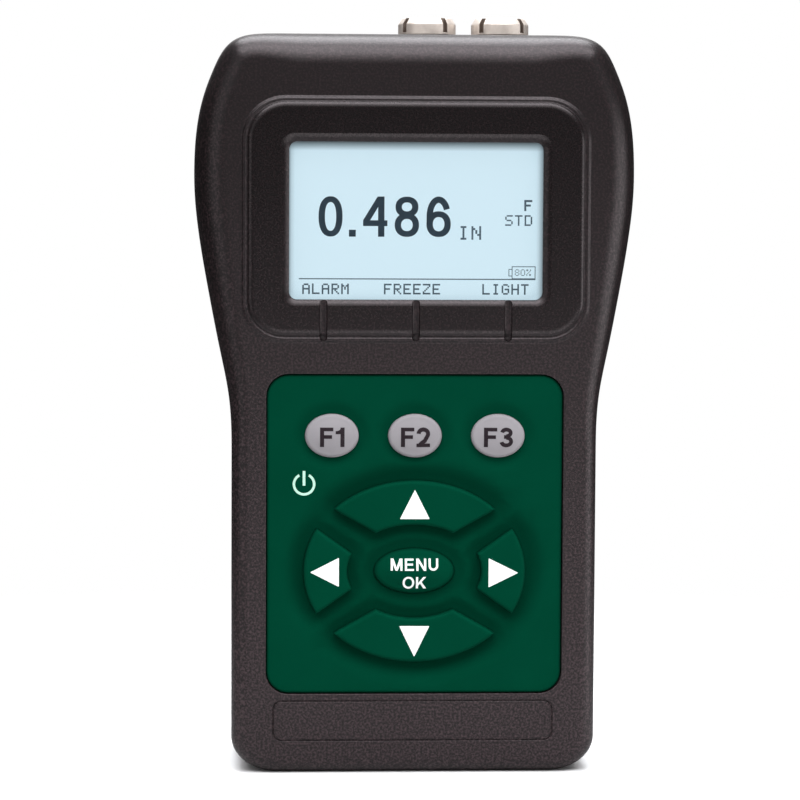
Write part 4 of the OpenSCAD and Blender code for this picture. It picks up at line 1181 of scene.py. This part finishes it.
def nuts():
    ob = None
    for x, turn in zip(SOCKET_XS, (-54, -44)):
        prof = [(3.52, 131.42), (5.06, 131.42), (5.16, 131.46), (5.2, 131.56), (5.2, 133.18), (5.17, 133.34), (5.10, 133.46), (4.56, 134.26), (4.47, 134.36),
                (4.35, 134.4), (3.66, 134.4), (3.55, 134.37), (3.52, 134.3)]
        one = add("nut", lathe(prof, x, SOCKET_Y).mesh("nut"), [NICKEL, SHADED_SLOT])
        for k in range(4):
            trim(one, slot_tool(x, SOCKET_Y, math.radians(turn + 90 * k)))
        if ob is None:
            ob = one
        else:
            bm = bmesh.new()
            bm.from_mesh(ob.data)
            bm.from_mesh(one.data)
            bm.to_mesh(ob.data)
            bm.free()
            old = one.data
            bpy.data.objects.remove(one)
            bpy.data.meshes.remove(old)
    ob.name = ob.data.name = "socket_ring_nuts"
    return ob


piece(smooth(nuts(), 30), "case", ["socket_nuts"])


def washers():
    s = Form()
    for x in SOCKET_XS:
        w = lathe([(3.56, 131.0), (4.77, 131.0), (4.85, 131.07), (4.85, 131.32), (4.78, 131.4), (3.6, 131.4), (3.56, 131.36)], x, SOCKET_Y, 72)
        base = len(s.v)
        s.v += w.v
        s.f += [tuple(i + base for i in f) for f in w.f]
        s.k += w.k
    return add("socket_lock_washers", s.mesh("washers"), [SHADED_WASHER])


piece(smooth(washers(), 30), "case", ["socket_washers"])
for side, x in zip(("left", "right"), SOCKET_XS):
    barrel = [(1.6, 117.4), (3.4, 117.4), (3.5, 117.5), (3.5, 127.0), (4.8, 127.0), (4.8, 128.6), (3.5, 128.6), (3.5, 133.9), (3.3, 134.2),
              (2.78, 134.2), (2.62, 134.12), (2.55, 133.95), (2.55, 131.6), (2.72, 131.5), (2.72, 131.0), (2.55, 130.9), (2.55, 126.2), (2.2, 126.2), (2.2, 118.4), (1.6, 118.4)]
    piece(smooth(add(f"{side}_socket_barrel", lathe(barrel, x, SOCKET_Y, 80).mesh("barrel"), [NICKEL]), 30), "case", [f"{side}_probe_socket"])


# ------------------------------------------------------------------ cells and their springs
def cell(name, node, x, z0, flip):
    prof = [(0.0, 0.0), (4.6, 0.0), (4.9, 0.1), (5.1, 0.35), (5.4, 0.38), (5.7, 0.2), (6.7, 0.16), (7.05, 0.3), (7.22, 0.65), (7.25, 1.1), (7.25, 5.0), (7.25, 5.02), (7.25, 36.0), (7.25, 36.02),
            (7.25, 48.2), (7.2, 48.65), (7.0, 49.05), (6.6, 49.25), (5.9, 49.22), (5.7, 49.05), (5.4, 48.95), (3.1, 48.95), (2.85, 49.05), (2.72, 49.3), (2.7, 50.1), (2.62, 50.35), (2.4, 50.5), (0.0, 50.5)]
    slots = []
    for (r0, h0), (r1, h1) in zip(prof, prof[1:]):
        h = (h0 + h1) / 2
        if h < 0.4 and r1 < 5.5 or h > 48.9 and r0 < 5.95:
            slots.append(2)
        elif 5.0 < h < 36.0:
            slots.append(0)
        else:
            slots.append(1)
    prof = [(max(r, 1e-4), z0 + (50.5 - h if flip else h)) for r, h in prof]
    s = lathe(prof, x, 6.4, 72, slots, False)
    ob = add(name, s.mesh(name), [WRAP, WRAP_BAND, SPRING])
    bm = bmesh.new()
    bm.from_mesh(ob.data)
    bmesh.ops.remove_doubles(bm, verts=bm.verts, dist=2e-6)
    bmesh.ops.recalc_face_normals(bm, faces=bm.faces)
    bm.to_mesh(ob.data)
    bm.free()
    return piece(smooth(ob, 40), "case", [node])


cell("left_cell_can", "left_cell", -7.75, 12.7, False)
cell("right_cell_can", "right_cell", 7.75, 8.8, True)


def springs():
    s = Form()
    for x, z0 in ((-7.75, 8.4), (7.75, 59.3)):
        wire, turns, length, r = 0.35, 4, 4.3, 2.8
        per, m = 40, 12
        rings = []
        for i in range(turns * per + 1):
            a = 2 * math.pi * i / per
            z = z0 + wire + (length - 2 * wire) * i / (turns * per)
            rings.append([(x + (r + wire * math.cos(b)) * math.cos(a), 6.4 + (r + wire * math.cos(b)) * math.sin(a), z + wire * math.sin(b))
                          for b in (2 * math.pi * k / m for k in range(m))])
        a, b = s.chain(rings)
        s.cap(a)
        s.cap(b)
    return add("battery_coils", s.mesh("battery_coils"), [SPRING])


piece(smooth(springs(), 50), "case", ["battery_springs"])

# ------------------------------------------------------------------ finishes of the parts that stay as they are
FINISH = {"case_seal": RUBBER, "case_screws": HEADS, "display_window": WINDOW, "window_gasket": FOAM, "lcd_frame": FRAME_METAL, "lcd_glass": GLASS, "backlight_panel": GUIDE,
          "lcd_connector_strip": STRIPE, "key_domes": SPRING, "main_board": BOARD, "board_screws": STEEL, "processor_chip": CHIP, "pulser_shield": FRAME_METAL,
          "power_inductor": FERRITE, "board_capacitors": SLEEVE, "buzzer": CHIP, "socket_insulators": CORE, "socket_contacts": BRASS, "left_socket_wire": WIRE,
          "right_socket_wire": WIRE, "battery_link": SPRING, "battery_terminals": SPRING, "battery_leads": WIRE}
for name, m in FINISH.items():
    o = nodes[name]
    o.data.materials.clear()
    o.data.materials.append(m)
    o.data.polygons.foreach_set("use_smooth", [True] * len(o.data.polygons))
    o.data.set_sharp_from_angle(angle=math.radians(30))

# ------------------------------------------------------------------ stage, light and camera
bpy.ops.mesh.primitive_circle_add(vertices=128, radius=1.6, fill_type="NGON", location=(0, 0, 0))
floor = bpy.context.object
floor.name = "floor"
fm, ft, fb, fw = tree("floor")
fout = next(n for n in ft.nodes if n.type == "OUTPUT_MATERIAL")
paper = ramp(ft, noise(ft, fw, 6.0, 3.0, 0.5), [(0.3, (0.84, 0.84, 0.845)), (0.7, (0.88, 0.88, 0.885))])
shy = ft.nodes.new("ShaderNodeMix")
shy.data_type, shy.blend_type = "RGBA", "MIX"
ray = ft.nodes.new("ShaderNodeLightPath")
ft.links.new(ray.outputs["Is Camera Ray"], shy.inputs["Factor"])
shy.inputs["A"].default_value = (0.55, 0.55, 0.55, 1)
ft.links.new(paper, shy.inputs["B"])
ft.links.new(shy.outputs["Result"], fb.inputs["Base Color"])
fb.inputs["Roughness"].default_value = 0.6
fb.inputs["Specular IOR Level"].default_value = 0.2
gone = ft.nodes.new("ShaderNodeBsdfTransparent")
length = ft.nodes.new("ShaderNodeVectorMath")
length.operation = "LENGTH"
ft.links.new(fw, length.inputs[0])
fade = span(ft, length.outputs["Value"], 0.03, 0.24, 0.0, 1.0)
fmix = ft.nodes.new("ShaderNodeMixShader")
ft.links.new(fade, fmix.inputs[0])
ft.links.new(fb.outputs[0], fmix.inputs[1])
ft.links.new(gone.outputs[0], fmix.inputs[2])
ft.links.new(fmix.outputs[0], fout.inputs[0])
floor.data.materials.append(fm)

world = bpy.data.worlds.new("studio")
scene.world = world
world.use_nodes = True
wt = world.node_tree
wt.nodes.clear()
wout = wt.nodes.new("ShaderNodeOutputWorld")
seen = wt.nodes.new("ShaderNodeBackground")
seen.inputs["Color"].default_value = (1, 1, 1, 1)
seen.inputs["Strength"].default_value = 1.0
lit = wt.nodes.new("ShaderNodeBackground")
way = wt.nodes.new("ShaderNodeTexCoord")
wz = wt.nodes.new("ShaderNodeSeparateXYZ")
wt.links.new(way.outputs["Generated"], wz.inputs[0])


def toward(axis, stops):
    """Grey that changes with one component of the direction, from -1 to 1."""
    r = wt.nodes.new("ShaderNodeMapRange")
    r.inputs["From Min"].default_value, r.inputs["From Max"].default_value = -1.0, 1.0
    wt.links.new(wz.outputs[axis], r.inputs["Value"])
    c = wt.nodes.new("ShaderNodeValToRGB")
    for k, (where, v) in enumerate(stops):
        e = c.color_ramp.elements[k] if k < 2 else c.color_ramp.elements.new(where)
        e.position, e.color = where, (v, v, v, 1)
    wt.links.new(r.outputs[0], c.inputs[0])
    return c.outputs[0]


lightest = wt.nodes.new("ShaderNodeMix")
lightest.data_type, lightest.blend_type = "RGBA", "LIGHTEN"
lightest.inputs["Factor"].default_value = 1.0
wt.links.new(toward("Z", ((0.0, 0.2), (0.25, 0.12), (0.4, 0.05), (0.6, 0.06), (0.8, 0.3), (1.0, 0.8))), lightest.inputs["A"])
above = wt.nodes.new("ShaderNodeMix")
above.data_type, above.blend_type = "RGBA", "MULTIPLY"
above.inputs["Factor"].default_value = 1.0
wt.links.new(toward("Y", ((0.5, 0.0), (0.62, 0.2), (0.85, 1.0), (1.0, 1.4))), above.inputs["A"])
wt.links.new(toward("Z", ((0.46, 0.0), (0.52, 0.1), (0.6, 0.7), (0.7, 1.0))), above.inputs["B"])
middle = wt.nodes.new("ShaderNodeMix")
middle.data_type, middle.blend_type = "RGBA", "MULTIPLY"
middle.inputs["Factor"].default_value = 1.0
wt.links.new(above.outputs["Result"], middle.inputs["A"])
wt.links.new(toward("X", ((0.25, 0.1), (0.38, 1.0), (0.62, 1.0), (0.75, 0.1))), middle.inputs["B"])
wt.links.new(middle.outputs["Result"], lightest.inputs["B"])
wt.links.new(lightest.outputs["Result"], lit.inputs["Color"])
lit.inputs["Strength"].default_value = 1.0
path = wt.nodes.new("ShaderNodeLightPath")
wmix = wt.nodes.new("ShaderNodeMixShader")
wt.links.new(path.outputs["Is Camera Ray"], wmix.inputs[0])
wt.links.new(lit.outputs[0], wmix.inputs[1])
wt.links.new(seen.outputs[0], wmix.inputs[2])
wt.links.new(wmix.outputs[0], wout.inputs[0])


def lamp(name, where, aim, sx, sy, power, colour=(1, 1, 1)):
    d = bpy.data.lights.new(name, "AREA")
    d.shape, d.size, d.size_y, d.energy, d.color = "RECTANGLE", sx, sy, power, colour
    o = bpy.data.objects.new(name, d)
    o.location = where
    o.rotation_euler = (Vector(aim) - Vector(where)).to_track_quat("-Z", "Y").to_euler()
    scene.collection.objects.link(o)
    o.visible_camera = False
    return o


lamp("top_light", (0.0, 0.16, 0.72), (0.0, 0.03, 0.1), 0.6, 0.45, 7.4, (0.95, 0.98, 1.0))
lamp("key_light", (0.02, -0.44, 0.80), (0.0, 0.0, 0.07), 1.25, 0.5, 11.4, (0.98, 0.98, 1.0))
lamp("fill_light", (0.02, -0.68, 0.52), (0.0, 0.0, 0.07), 0.7, 0.28, 1.3)
lamp("front_light", (0.12, -0.60, -0.15), (0.0, 0.0, 0.05), 0.5, 0.28, 1.0)
lamp("left_light", (-0.46, -0.44, 0.10), (0.0, 0.0, 0.04), 0.4, 0.4, 0.48)
lamp("right_light", (0.60, -0.26, 0.03), (0.0, 0.0, 0.03), 0.5, 0.3, 1.55)

AZ, EL, ROLL, FAR, LENS = -3.0, 4.0, 0.3, 0.550, 140.2
cam_data = bpy.data.cameras.new("camera")
cam_data.sensor_width, cam_data.lens = 36.0, LENS
cam_data.clip_start, cam_data.clip_end = 0.01, 20.0
cam = bpy.data.objects.new("camera", cam_data)
scene.collection.objects.link(cam)
target = Vector((-0.00271, -0.015, 0.06655))
a, e = math.radians(AZ), math.radians(EL)
away = Vector((math.sin(a) * math.cos(e), -math.cos(a) * math.cos(e), math.sin(e)))
cam.location = target + away * FAR
cam.rotation_euler = ((-away).to_track_quat("-Z", "Y") @ Quaternion((0, 0, 1), math.radians(ROLL))).to_euler()
scene.camera = cam
scene.view_settings.view_transform = "Standard"
